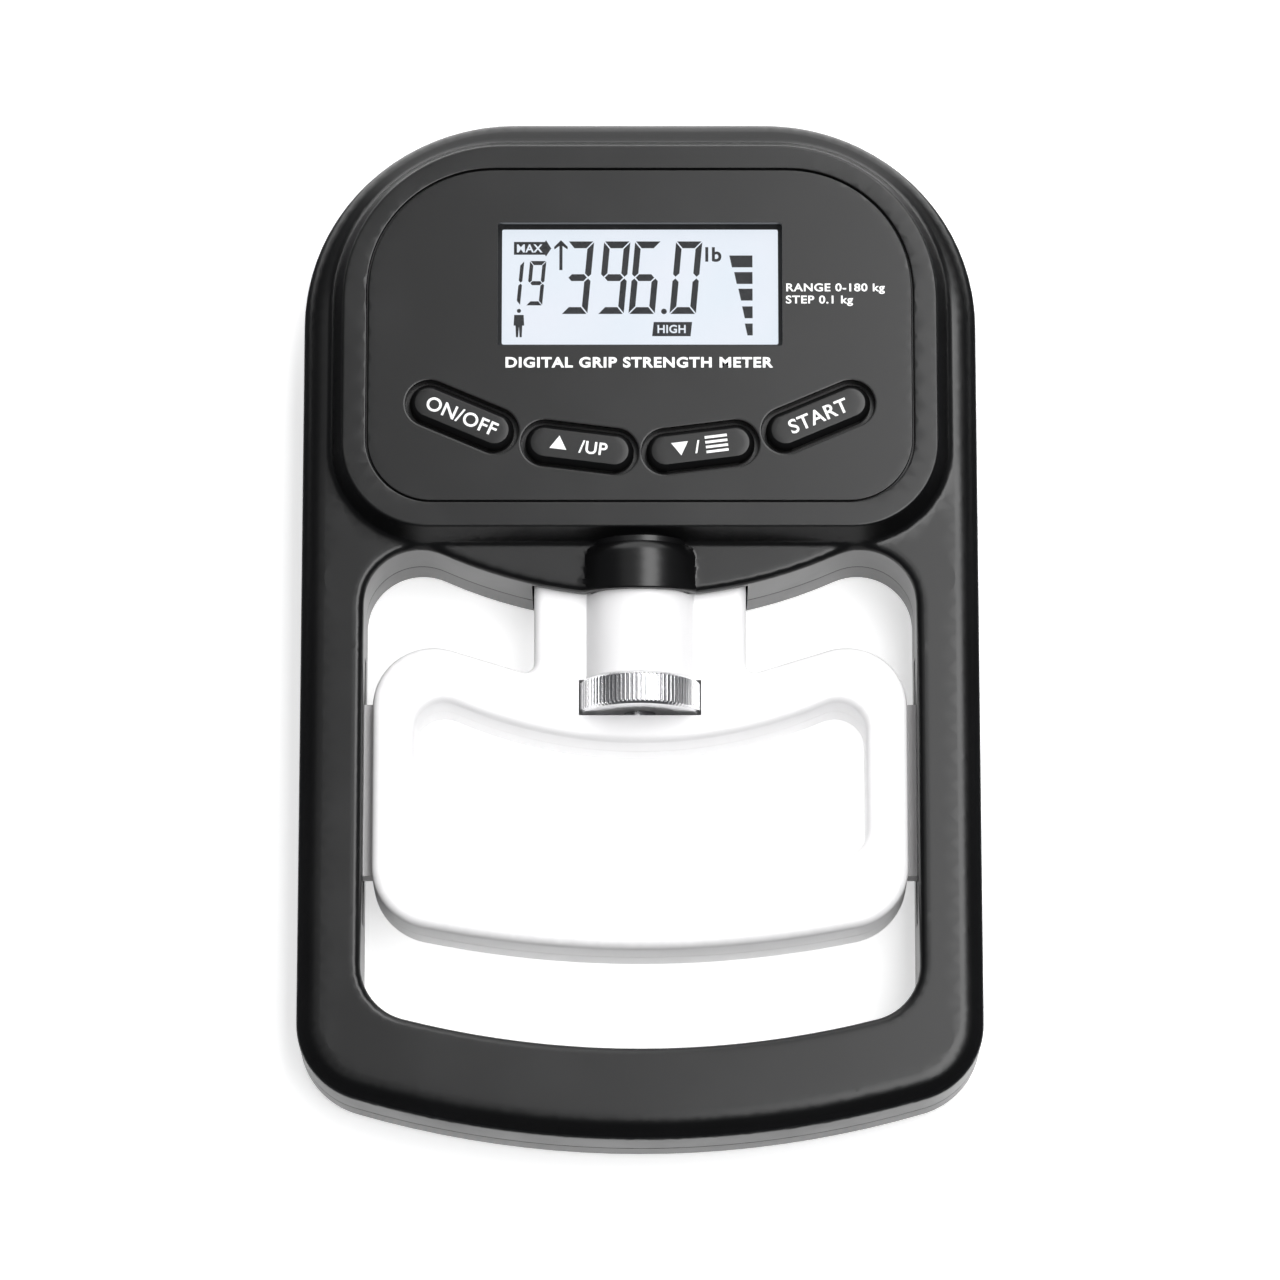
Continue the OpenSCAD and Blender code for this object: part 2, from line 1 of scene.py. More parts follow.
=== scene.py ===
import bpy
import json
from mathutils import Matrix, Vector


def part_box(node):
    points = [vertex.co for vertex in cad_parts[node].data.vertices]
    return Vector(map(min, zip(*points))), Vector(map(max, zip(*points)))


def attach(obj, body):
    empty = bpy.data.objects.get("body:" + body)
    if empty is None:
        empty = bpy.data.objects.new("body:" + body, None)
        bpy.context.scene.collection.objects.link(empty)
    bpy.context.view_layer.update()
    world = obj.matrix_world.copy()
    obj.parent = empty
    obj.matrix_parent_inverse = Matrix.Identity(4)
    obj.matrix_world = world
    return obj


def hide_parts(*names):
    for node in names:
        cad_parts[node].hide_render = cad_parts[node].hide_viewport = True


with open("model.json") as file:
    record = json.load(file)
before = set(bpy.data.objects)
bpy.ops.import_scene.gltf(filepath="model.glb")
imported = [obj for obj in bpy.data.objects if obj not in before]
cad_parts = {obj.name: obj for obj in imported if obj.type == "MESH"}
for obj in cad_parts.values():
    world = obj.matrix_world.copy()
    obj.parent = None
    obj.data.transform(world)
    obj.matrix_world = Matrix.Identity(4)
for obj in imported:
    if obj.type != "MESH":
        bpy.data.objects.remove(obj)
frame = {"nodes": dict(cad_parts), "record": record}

"""The looks of the electronic hand dynamometer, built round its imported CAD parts.

All lengths below are millimetres unless a name says otherwise. X runs across the grip, Y from
the palm bar to the display head and Z from the back to the face.
"""

import json
from math import acos, atan2, cos, pi, radians, sin, sqrt, tan

import bpy
import numpy as np
from mathutils import Vector
from mathutils.geometry import delaunay_2d_cdt

MM = 0.001


def note_size():
    """Brings the view layer's evaluated state up to date."""
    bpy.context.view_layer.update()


note_size()


# ---------------------------------------------------------------- sizes
def level(node, end):
    """The lowest (end 0) or highest (end 1) level of a CAD node."""
    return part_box(node)[end].z / MM


FRAME_W, FRAME_L, BAR_W = 128.0, 197.2, 12.0
HALF_W, TOP_Y = FRAME_W / 2, FRAME_L / 2
HOLE_HW = HALF_W - BAR_W
PARTING_Z = level("back_shell", 0) + 9.0
BAR_Z = 22.5
HEAD_Z = 27.5
PANEL_TOP, PANEL_LOW = level("face_panel", 1), level("face_panel", 0)
FACE_WALL_Z = PANEL_LOW - 1.4
WALL, FLOOR = 2.4, 2.2
ROOF_Z = BAR_Z - FLOOR
HANDLE_LOW, HANDLE_TOP = level("handle_back", 0), 19.5
HANDLE_MID = (HANDLE_LOW + HANDLE_TOP) / 2
HANDLE_W, GRIP_W, STEM_W, HANDLE_WALL = 100.6, 85.0, 40.0, 2.2
STUD_Z = 16.0
WINDOW_Y, WINDOW_W, WINDOW_H = 64.2, 54.0, 24.4
GLASS_TOP = level("lcd_glass", 1)
KEY_TOP, KEY_LOW = level("key_on", 1), level("key_on", 0)
KEY_R, WELL_R = 3.7, 4.6
KEYS = {
    "key_on": (-33.65, 38.05, -23.3, 13.4),
    "key_up": (-11.4, 32.1, -7.2, 13.15),
    "key_down": (11.4, 32.1, 7.2, 13.15),
    "key_start": (33.65, 38.05, 23.3, 13.4),
}
SHELL_POSTS = [(55, -80), (56.4, 8), (55, 62), (21, 91.8)]
HANDLE_POSTS = [(30, -54.9), (34, -10.5)]
CELL_POSTS = [(30, 31), (36, 31)]
POST_R, PILOT_R, BOARD_POST_R = 3.1, 1.42, 2.0
SOCKET_R, SCREW_HEAD_R, SCREW_HOLE_R = 3.7, 2.8, 1.6
DOOR_HW, DOOR_Y0, DOOR_Y1 = 26.2, 61.0, 86.2
BAY_HW, BAY_Y0, BAY_Y1, BAY_Z = 25.2, 62.0, 85.2, 13.3


# ---------------------------------------------------------------- plan curves
def corner_arc(c, r, u, v):
    """The arc of radius r that rounds the corner c between the directions u and v."""
    half = acos(np.clip(u @ v, -1, 1)) / 2
    centre = c + (u + v) / np.linalg.norm(u + v) * r / sin(half)
    a = c + u * r / tan(half) - centre
    b = c + v * r / tan(half) - centre
    start, turn = atan2(a[1], a[0]), atan2(a[0] * b[1] - a[1] * b[0], a @ b)
    t = start + turn * np.linspace(0, 1, 21)
    return centre + r * np.stack([np.cos(t), np.sin(t)], 1)


def rounded(corners):
    """A closed outline whose corners (x, y, radius) are rounded by arcs."""
    pts = np.array([c[:2] for c in corners], float)
    out = []
    for i, (x, y, r) in enumerate(corners):
        c = pts[i]
        u, v = pts[i - 1] - c, pts[(i + 1) % len(pts)] - c
        if r == 0:
            out.append(c[None])
        else:
            out.append(corner_arc(c, r, u / np.linalg.norm(u), v / np.linalg.norm(v)))
    return np.concatenate(out)


def both_sides(half):
    """The right half of an outline, followed by its mirror image."""
    return half + [(-x, y, r) for x, y, r in reversed(half) if x > 0]


def bow(mid, hw, r, c, sign):
    """Apex and corner height of a long bow of radius r, whose middle is at y = mid, between two
    corners of radius c at x = hw. sign is +1 where the bow bulges into the opening."""
    a = np.arcsin((hw - c) / (r + sign * c))
    apex = mid + r - r / cos(a)
    return apex, apex + hw * tan(a)


def even(loop, step):
    """A closed outline with its points at nearly equal steps along it."""
    ring = np.vstack([loop, loop[:1]])
    ring = ring[np.r_[True, np.linalg.norm(np.diff(ring, axis=0), axis=1) > 1e-6]]
    s = np.r_[0, np.cumsum(np.linalg.norm(np.diff(ring, axis=0), axis=1))]
    t = np.linspace(0, s[-1], int(round(s[-1] / step)) + 1)[:-1]
    loop = np.stack([np.interp(t, s, ring[:, 0]), np.interp(t, s, ring[:, 1])], 1)
    area = loop[:, 0] @ np.roll(loop[:, 1], -1) - loop[:, 1] @ np.roll(loop[:, 0], -1)
    return loop if area > 0 else loop[::-1]


def inset(loop, d):
    """The outline moved inwards by d along its normals, or outwards if d is below 0."""
    t = np.roll(loop, -1, 0) - np.roll(loop, 1, 0)
    t /= np.linalg.norm(t, axis=1)[:, None]
    return loop + d * np.stack([-t[:, 1], t[:, 0]], 1)


def box_loop(x0, x1, y0, y1, r=0.0, step=1.2):
    """A rectangle, with rounded corners if r is above 0, and points all along its sides."""
    if r:
        return even(rounded([(x1, y1, r), (x1, y0, r), (x0, y0, r), (x0, y1, r)]), min(step, r / 1.5))
    nx, ny = (max(2, int(np.ceil(l / step))) for l in (x1 - x0, y1 - y0))
    xs, ys = np.linspace(x0, x1, nx + 1), np.linspace(y0, y1, ny + 1)
    return np.concatenate([
        np.stack([xs[:-1], np.full(nx, y0)], 1), np.stack([np.full(ny, x1), ys[:-1]], 1),
        np.stack([xs[:0:-1], np.full(nx, y1)], 1), np.stack([np.full(ny, x0), ys[:0:-1]], 1)])


def circle(x, y, r, n):
    t = np.arange(n) * 2 * pi / n
    return np.stack([x + r * np.cos(t), y + r * np.sin(t)], 1)


def capsule(key, r):
    """The outline of a key: two half circles of radius r, the key's distance apart."""
    x, y, turn, distance = key
    t = (np.arange(48) + 0.5) * 2 * pi / 48
    px, py = r * np.cos(t) + np.sign(np.cos(t)) * distance / 2, r * np.sin(t)
    loop = even(np.stack([px, py], 1), 0.55)
    c, s = cos(radians(turn)), sin(radians(turn))
    return np.stack([x + c * loop[:, 0] - s * loop[:, 1], y + s * loop[:, 0] + c * loop[:, 1]], 1)


palm_apex, palm_y = bow(-TOP_Y, HALF_W, 189, 15, -1)
top_apex, top_corner_y = bow(4.6, HOLE_HW, 90, 10.5, 1)
low_apex, low_corner_y = bow(-81.9, HOLE_HW, 178, 10.5, -1)
handle_apex, handle_y = bow(-62.7, HANDLE_W / 2, 200, 12, -1)
grip_apex, grip_y = bow(-23.1, GRIP_W / 2, 86, 5.5, 1)
OUTER = even(rounded(both_sides([
    (HALF_W, TOP_Y, 40), (HALF_W, palm_y, 15), (0, palm_apex, 188.99)])), 1.0)
HOLE = even(rounded(both_sides([
    (0, top_apex, 89.99), (HOLE_HW, top_corner_y, 10.5), (HOLE_HW, low_corner_y, 10.5),
    (0, low_apex, 177.99)])), 1.0)
HANDLE = even(rounded(both_sides([
    (STEM_W / 2, 15.5, 1), (STEM_W / 2, -9.9, 1.6), (HANDLE_W / 2, -0.44, 11.4),
    (HANDLE_W / 2, handle_y, 12), (0, handle_apex, 199.99)])), 0.8)
GRIP = even(rounded(both_sides([
    (0, grip_apex, 85.99), (GRIP_W / 2, grip_y, 5.5), (GRIP_W / 2, -44.2, 5.5), (29.5, -47.2, 15),
    (21.6, -52.2, 8.5), (12.6, -48.6, 12), (0, -54, 12)])), 0.8)
POD = even(rounded([(55.9, 91.3, 30), (55.9, 17.1, 16), (-55.9, 17.1, 16), (-55.9, 91.3, 30)]), 1.0)
HEAD = even(rounded([(57.4, 92.8, 33), (57.4, 15.6, 18), (-57.4, 15.6, 18), (-57.4, 92.8, 33)]), 1.0)
PANEL = even(rounded([(51.8, 87.2, 24), (51.8, 21.4, 12.5), (-51.8, 21.4, 12.5), (-51.8, 87.2, 24)]), 1.0)


# ---------------------------------------------------------------- distances and edge shapes
def depth(points, loop):
    """How far each point lies inside a closed outline, below 0 outside it: the distance to the
    nearest of its segments, with the sign from counting crossings to the right of the point."""
    a, b = loop, np.roll(loop, -1, 0)
    ab = b - a
    length2 = (ab ** 2).sum(1)
    out = np.empty(len(points))
    for i in range(0, len(points), 2000):
        p = points[i:i + 2000]
        px, py = p[:, :1] - a[:, 0], p[:, 1:] - a[:, 1]
        t = np.clip((px * ab[:, 0] + py * ab[:, 1]) / length2, 0, 1)
        near = ((px - t * ab[:, 0]) ** 2 + (py - t * ab[:, 1]) ** 2).min(1)
        spans = (a[:, 1] > p[:, 1:]) != (b[:, 1] > p[:, 1:])
        with np.errstate(divide="ignore", invalid="ignore"):
            right = px < py * ab[:, 0] / ab[:, 1]
        odd = (spans & right).sum(1) % 2
        out[i:i + 2000] = np.sqrt(near) * np.where(odd, 1, -1)
    return out


def fall(r, d):
    """How far an edge rounded with radius r lies under its face, at a distance d inside the edge."""
    t = np.clip(r - d, 0, r)
    return r - np.sqrt(r * r - t * t)


def ring_depths(r, n):
    """Distances inside an edge at which a rounding of radius r gets its rows of points."""
    return [r * (1 - cos(a)) for a in np.linspace(0, pi / 2, n + 1)][1:]


def soft_max(a, b, k):
    """The higher of two heights, with the valley between them filled over k."""
    h = np.clip(k - np.abs(a - b), 0, k)
    return np.maximum(a, b) + h * h / (4 * k)


def pod_profile(run, drop, lean):
    """Distance and height of the head's side wall: a tight arc at the rim, a straight run leaning
    by lean from the plate, and a wider arc at the foot."""
    c, s = cos(lean), sin(lean)
    straight = (drop - (1 - c) * run / s) / (s - (1 - c) * c / s)
    arcs = (run - c * straight) / s
    r1, r2 = arcs * 0.25, arcs * 0.75
    t = np.linspace(0, lean, 9)
    x1, z1 = r1 * np.sin(t), -r1 * (1 - np.cos(t))
    x2 = x1[-1] + c * straight + r2 * (s - np.sin(t[::-1]))
    z2 = z1[-1] - s * straight - r2 * ((1 - c) - (1 - np.cos(t[::-1])))
    return np.r_[x1, x2], np.r_[z1, z2]


# ---------------------------------------------------------------- meshes
def make(name, verts, faces, body, material, sharp, stands_for=()):
    """A piece from points in millimetres, smooth but for edges sharper than the angle."""
    mesh = bpy.data.meshes.new(name)
    verts = np.asarray(verts, float) * MM
    faces = [np.asarray(f, np.int32) for f in faces if len(f)]
    sizes = np.concatenate([np.full(len(f), f.shape[1], np.int32) for f in faces])
    corners = np.concatenate([f.ravel() for f in faces])
    mesh.vertices.add(len(verts))
    mesh.vertices.foreach_set("co", verts.astype(np.float32).ravel())
    mesh.loops.add(len(corners))
    mesh.loops.foreach_set("vertex_index", corners)
    mesh.polygons.add(len(sizes))
    mesh.polygons.foreach_set("loop_start", np.r_[0, np.cumsum(sizes)[:-1]].astype(np.int32))
    mesh.update(calc_edges=True)
    mesh.validate()
    mesh.shade_smooth()
    mesh.set_sharp_from_angle(angle=radians(sharp))
    mesh.materials.append(material)
    piece = bpy.data.objects.new(name, mesh)
    bpy.context.scene.collection.objects.link(piece)
    even_out = piece.modifiers.new("face_weighted_normals", "WEIGHTED_NORMAL")
    even_out.keep_sharp = True
    even_out.weight = 100
    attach(piece, body)
    if stands_for:
        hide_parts(*stands_for)
    return piece


def hex_fill(x0, x1, y0, y1, step):
    """A field of points at the corners of equal triangles."""
    xs, ys = np.arange(x0, x1, step), np.arange(y0, y1, step * sqrt(3) / 2)
    gx, gy = np.meshgrid(xs, ys)
    gx = gx + (np.arange(len(ys)) % 2)[:, None] * step / 2
    return np.stack([gx.ravel(), gy.ravel()], 1)


STEP_GAP = 0.02


def relief(rim, holes, steps, rows, fill, low, high, clear=0.45):
    """A closed body between two heights over one plan. rim and holes bound the plan, rows are
    outlines that the faces follow, steps are outlines at which a height jumps and get a row on
    each side, and fill is loose points. low and high give the heights at an array of points."""
    loops = [rim] + [h[::-1] for h in holes] + list(rows)
    for s in steps:
        loops += [inset(s, STEP_GAP), inset(s, -STEP_GAP)]
    fixed = np.concatenate(loops)
    edges, start = [], 0
    for l in loops:
        i = np.arange(len(l))
        edges.append(np.stack([i, (i + 1) % len(l)], 1) + start)
        start += len(l)
    free = fill
    for r in rows:
        free = free[np.abs(depth(free, r)) > clear]
    inside = depth(free, rim) > 0.05
    for h in holes:
        inside &= depth(free, h) < -0.05
    free = free[inside]
    if steps:
        inside = np.ones(len(free), bool)
        for s in steps:
            inside &= np.abs(depth(free, s)) > clear
        free = free[inside]
    points = np.concatenate([fixed, free])
    found = delaunay_2d_cdt([Vector(p) for p in points.tolist()], np.concatenate(edges).tolist(), [],
                            0, 1e-4, False)
    flat = np.array([tuple(v) for v in found[0]])
    tri = np.array(found[2])
    a, b, c = (flat[tri[:, k]] for k in range(3))
    area = (b[:, 0] - a[:, 0]) * (c[:, 1] - a[:, 1]) - (b[:, 1] - a[:, 1]) * (c[:, 0] - a[:, 0])
    tri = np.where(area[:, None] < 0, tri[:, ::-1], tri)
    centre = (a + b + c) / 3
    keep = (depth(centre, rim) > 0) & (np.abs(area) > 1e-9)
    for h in holes:
        keep &= depth(centre, h) < 0
    tri = tri[keep]
    used, tri = np.unique(tri, return_inverse=True)
    flat, tri = flat[used], tri.reshape(-1, 3)
    n = len(flat)
    top, bottom = high(flat), low(flat)
    sides = np.concatenate([tri[:, [0, 1]], tri[:, [1, 2]], tri[:, [2, 0]]])
    code = sides[:, 0].astype(np.int64) * n + sides[:, 1]
    back = sides[:, 1].astype(np.int64) * n + sides[:, 0]
    border = sides[~np.isin(code, back)]
    walls = np.stack([border[:, 0] + n, border[:, 1] + n, border[:, 1], border[:, 0]], 1)
    verts = np.concatenate([np.c_[flat, top], np.c_[flat, bottom]])
    return verts, [tri, tri[:, ::-1] + n, walls]


def closed_grid(rows, columns):
    """Four-cornered faces between successive rows of a grid, closed along each row."""
    i, j = np.meshgrid(np.arange(rows - 1), np.arange(columns), indexing="ij")
    k = (j + 1) % columns
    return np.stack([i * columns + j, i * columns + k, (i + 1) * columns + k, (i + 1) * columns + j],
                    -1).reshape(-1, 4)


# ---------------------------------------------------------------- materials
def principled(name):
    material = bpy.data.materials.new(name)
    material.use_nodes = True
    return material, material.node_tree, material.node_tree.nodes["Principled BSDF"]


def noise(tree, scale, detail, stretch=(1, 1, 1)):
    """Noise in the object's own coordinates, scale bumps to the metre, stretched along an axis."""
    place = tree.nodes.new("ShaderNodeTexCoord")
    fit = tree.nodes.new("ShaderNodeMapping")
    fit.inputs["Scale"].default_value = stretch
    field = tree.nodes.new("ShaderNodeTexNoise")
    field.inputs["Scale"].default_value = scale
    field.inputs["Detail"].default_value = detail
    field.inputs["Roughness"].default_value = 0.55
    tree.links.new(place.outputs["Object"], fit.inputs["Vector"])
    tree.links.new(fit.outputs["Vector"], field.inputs["Vector"])
    return field


def ramp(tree, source, low, high, colours):
    """A colour ramp that reads a field between low and high."""
    node = tree.nodes.new("ShaderNodeValToRGB")
    stops = node.color_ramp.elements
    for stop, place, colour in zip(stops, (low, high), colours):
        stop.position = place
        stop.color = (*colour, 1)
    tree.links.new(source, node.inputs["Fac"])
    return node


def finish(name, colour, rough, spread, grain=4000, bump=0.004, metal=0.0, stretch=(1, 1, 1),
           vary=0.12):
    """A worked surface: fine grain in its normal, and slow patches in its colour and roughness.
    bump is the grain's height in millimetres, vary the share by which the colour wanders."""
    material, tree, shader = principled(name)
    fine = noise(tree, grain, 2.0, stretch)
    broad = noise(tree, 60, 4.0, stretch)
    dark, light = ([c * (1 + k) for c in colour] for k in (-vary, vary))
    tone = ramp(tree, broad.outputs["Fac"], 0.3, 0.7, (dark, light))
    tree.links.new(tone.outputs["Color"], shader.inputs["Base Color"])
    gloss = tree.nodes.new("ShaderNodeMapRange")
    gloss.inputs["From Min"].default_value = 0.45
    gloss.inputs["From Max"].default_value = 0.7
    gloss.inputs["To Min"].default_value = rough - spread
    gloss.inputs["To Max"].default_value = rough + spread
    tree.links.new(broad.outputs["Fac"], gloss.inputs["Value"])
    tree.links.new(gloss.outputs["Result"], shader.inputs["Roughness"])
    lift = tree.nodes.new("ShaderNodeBump")
    lift.inputs["Distance"].default_value = bump * MM
    tree.links.new(fine.outputs["Fac"], lift.inputs["Height"])
    tree.links.new(lift.outputs["Normal"], shader.inputs["Normal"])
    shader.inputs["Metallic"].default_value = metal
    return material


def glowing(name, colours, strength):
    """The lit display: light comes from the glass itself, its tint wandering a little in slow patches."""
    material, tree, shader = principled(name)
    field = noise(tree, 45, 1.0)
    tone = ramp(tree, field.outputs["Fac"], 0.35, 0.65, colours)
    shader.inputs["Base Color"].default_value = (0.02, 0.02, 0.02, 1)
    shader.inputs["Roughness"].default_value = 0.6
    tree.links.new(tone.outputs["Color"], shader.inputs["Emission Color"])
    shader.inputs["Emission Strength"].default_value = strength
    return material


def clear(name, colour, alpha, rough):
    """A thin clear sheet: mostly see-through and glossy, with a colour that wanders a little."""
    material, tree, shader = principled(name)
    field = noise(tree, 90, 2.0)
    tone = ramp(tree, field.outputs["Fac"], 0.3, 0.7, (colour, [c * 1.1 for c in colour]))
    tree.links.new(tone.outputs["Color"], shader.inputs["Base Color"])
    shader.inputs["Roughness"].default_value = rough
    shader.inputs["Alpha"].default_value = alpha
    return material


def circuit(name):
    """Green solder resist over a maze of slightly raised copper tracks."""
    material, tree, shader = principled(name)
    place = tree.nodes.new("ShaderNodeTexCoord")
    cells = tree.nodes.new("ShaderNodeTexVoronoi")
    cells.distance = "MANHATTAN"
    cells.feature = "F1"
    cells.inputs["Scale"].default_value = 420
    tree.links.new(place.outputs["Object"], cells.inputs["Vector"])
    tone = ramp(tree, cells.outputs["Distance"], 0.42, 0.5, ((0.01, 0.12, 0.045), (0.02, 0.2, 0.08)))
    tree.links.new(tone.outputs["Color"], shader.inputs["Base Color"])
    lift = tree.nodes.new("ShaderNodeBump")
    lift.inputs["Distance"].default_value = 0.03 * MM
    tree.links.new(tone.outputs["Color"], lift.inputs["Height"])
    tree.links.new(lift.outputs["Normal"], shader.inputs["Normal"])
    shader.inputs["Roughness"].default_value = 0.35
    return material


def wrapped(name):
    """A cell's printed sleeve: a dark band and a bright one along its length."""
    material, tree, shader = principled(name)
    place = tree.nodes.new("ShaderNodeTexCoord")
    split = tree.nodes.new("ShaderNodeSeparateXYZ")
    reach = tree.nodes.new("ShaderNodeMapRange")
    reach.inputs["From Min"].default_value = -0.022
    reach.inputs["From Max"].default_value = 0.022
    tree.links.new(place.outputs["Object"], split.inputs["Vector"])
    tree.links.new(split.outputs["X"], reach.inputs["Value"])
    tone = ramp(tree, reach.outputs["Result"], 0.3, 0.32, ((0.03, 0.03, 0.035), (0.75, 0.35, 0.06)))
    tree.links.new(tone.outputs["Color"], shader.inputs["Base Color"])
    fine = noise(tree, 700, 2.0)
    lift = tree.nodes.new("ShaderNodeBump")
    lift.inputs["Distance"].default_value = 0.01 * MM
    tree.links.new(fine.outputs["Fac"], lift.inputs["Height"])
    tree.links.new(lift.outputs["Normal"], shader.inputs["Normal"])
    shader.inputs["Roughness"].default_value = 0.45
    shader.inputs["Metallic"].default_value = 0.4
    return material


LOOKS = {
    "shell_black": finish("satin_black_shell", (0.0032, 0.0032, 0.0034), 0.31, 0.02, 5200, 0.0016),
    "panel_black": finish("satin_black_panel", (0.003, 0.003, 0.0032), 0.31, 0.015, 6500, 0.001),
    "key_black": finish("satin_black_key", (0.0034, 0.0034, 0.0036), 0.34, 0.02, 5200, 0.0016),
    "clear_lens": clear("clear_window", (0.02, 0.021, 0.022), 0.03, 0.3),
    "frame_black": finish("display_bezel", (0.012, 0.012, 0.013), 0.5, 0.04, 5000, 0.003),
    "display_glass": glowing("lit_display", ((0.80, 0.875, 0.96), (0.84, 0.885, 0.97)), 0.97),
    "light_guide": finish("milky_light_guide", (0.85, 0.87, 0.88), 0.4, 0.05),
    "strip_rubber": finish("contact_rubber", (0.55, 0.2, 0.22), 0.7, 0.05, 3000, 0.01),
    "board_green": circuit("green_board"),
    "chip_black": finish("moulded_chip", (0.02, 0.02, 0.022), 0.55, 0.06, 6000, 0.004),
    "switch_steel": finish("dome_steel", (0.7, 0.7, 0.72), 0.25, 0.06, 2500, 0.003, metal=1.0),
    "pin_gold": finish("pin_gold", (0.9, 0.68, 0.3), 0.25, 0.05, 2500, 0.002, metal=1.0),
    "cell_aluminium": finish("milled_aluminium", (0.78, 0.79, 0.8), 0.35, 0.06, 900, 0.01, metal=1.0,
                             stretch=(0.05, 1, 1)),
    "gauge_film": finish("gauge_film", (0.75, 0.5, 0.15), 0.4, 0.05, 3000, 0.003),
    "screw_steel": finish("screw_steel", (0.6, 0.6, 0.62), 0.3, 0.06, 2500, 0.004, metal=1.0),
    "lead_white": finish("white_lead", (0.8, 0.8, 0.78), 0.45, 0.05, 3000, 0.005),
    "lead_red": finish("red_lead", (0.6, 0.03, 0.02), 0.45, 0.05, 3000, 0.005),
    "nut_brass": finish("turned_brass", (0.8, 0.58, 0.25), 0.3, 0.06, 1500, 0.006, metal=1.0),
    "stud_steel": finish("stud_steel", (0.62, 0.62, 0.64), 0.3, 0.06, 1500, 0.006, metal=1.0,
                         stretch=(1, 6, 1)),
    "knob_chrome": finish("bright_chrome", (0.9, 0.9, 0.91), 0.26, 0.03, 2600, 0.0008, metal=1.0,
                          vary=0.03),
    "handle_white": finish("white_handle", (0.84, 0.835, 0.84), 0.4, 0.04, 4500, 0.002, vary=0.012),
    "guide_grey": finish("grey_guide", (0.62, 0.61, 0.615), 0.5, 0.04, 3500, 0.004, vary=0.03),
    "battery_wrap": wrapped("battery_sleeve"),
}
PRINT = finish("white_print", (0.93, 0.93, 0.93), 0.5, 0.03, 3000, 0.001, vary=0.01)
SEGMENT = finish("display_segment", (0.006, 0.007, 0.01), 0.6, 0.03, 3000, 0.001)

for part in frame["record"]["subparts"]:
    if part["node"] in frame["nodes"]:
        mesh = frame["nodes"][part["node"]].data
        mesh.materials.clear()
        mesh.materials.append(LOOKS[part["material_slot"]])


# ---------------------------------------------------------------- the frame's two shells
R_OUTER, R_HOLE, R_BACK, GROOVE = 4.7, 1.5, 3.0, 0.3
COLLAR_R, BORE_R, COLLAR_TURN_Y, COLLAR_END = 12.2, 11.0, 11.5, 6.0
STEM = (-20.4, 20.4, 1.4, 10.0)
POD_S, POD_DROP = pod_profile(3.8, HEAD_Z - BAR_Z, radians(66))


def in_box(p, x0, x1, y0, y1):
    return (p[:, 0] > x0) & (p[:, 0] < x1) & (p[:, 1] > y0) & (p[:, 1] < y1)


def near_post(p, posts, r):
    """Whether each point lies within r of a post, right or left."""
    hit = np.zeros(len(p), bool)
    for x, y in posts:
        hit |= (np.abs(p[:, 0]) - x) ** 2 + (p[:, 1] - y) ** 2 < r * r
    return hit


def both_circles(posts, r, n=20):
    return [circle(s * x, y, r, n) for x, y in posts for s in (1, -1)]


def collar(p):
    """The collar over the stud: a tube along Y whose far end is a quarter of an ellipsoid."""
    far = np.clip((p[:, 1] - COLLAR_TURN_Y) / COLLAR_END, 0, None) * COLLAR_R
    return STUD_Z + np.sqrt(np.clip(COLLAR_R ** 2 - p[:, 0] ** 2 - far ** 2, 0, None))


def front_top(p):
    """The frame's face: the bars' flat, less the rounded edges, plus the head and the collar."""
    rim, hole, pod = depth(p, OUTER), -depth(p, HOLE), -depth(p, POD)
    z = HEAD_Z + np.interp(pod, POD_S, POD_DROP)
    round_tube = np.where((p[:, 1] > 3) & (p[:, 1] < 18), collar(p) - fall(0.5, hole), 0)
    z = z - fall(R_OUTER, rim) - fall(R_HOLE, hole)
    z = np.where(np.abs(p[:, 0]) < COLLAR_R, soft_max(z, round_tube, 0.35), z)
    panel = depth(p, PANEL)
    z = z - np.where(panel > 0, 0, fall(0.3, -panel))
    return np.where(panel > 0, PANEL_LOW, z)


BOARD_POSTS, KEY_POSTS = [(35, 82), (38.5, 50.6)], [(22, 43.5)]
PILOT_Z, BOARD_SEAT_Z, KEY_SEAT_Z = 19.5, 20.8, 22.4
GUIDE_Y0, GUIDE_Y1, GUIDE_IN, GUIDE_OUT, GUIDE_SLOT_Z = -56.8, -5.4, HOLE_HW - 1, HOLE_HW + 3.4, 14.4
BORE_Y = (2, 15.2)


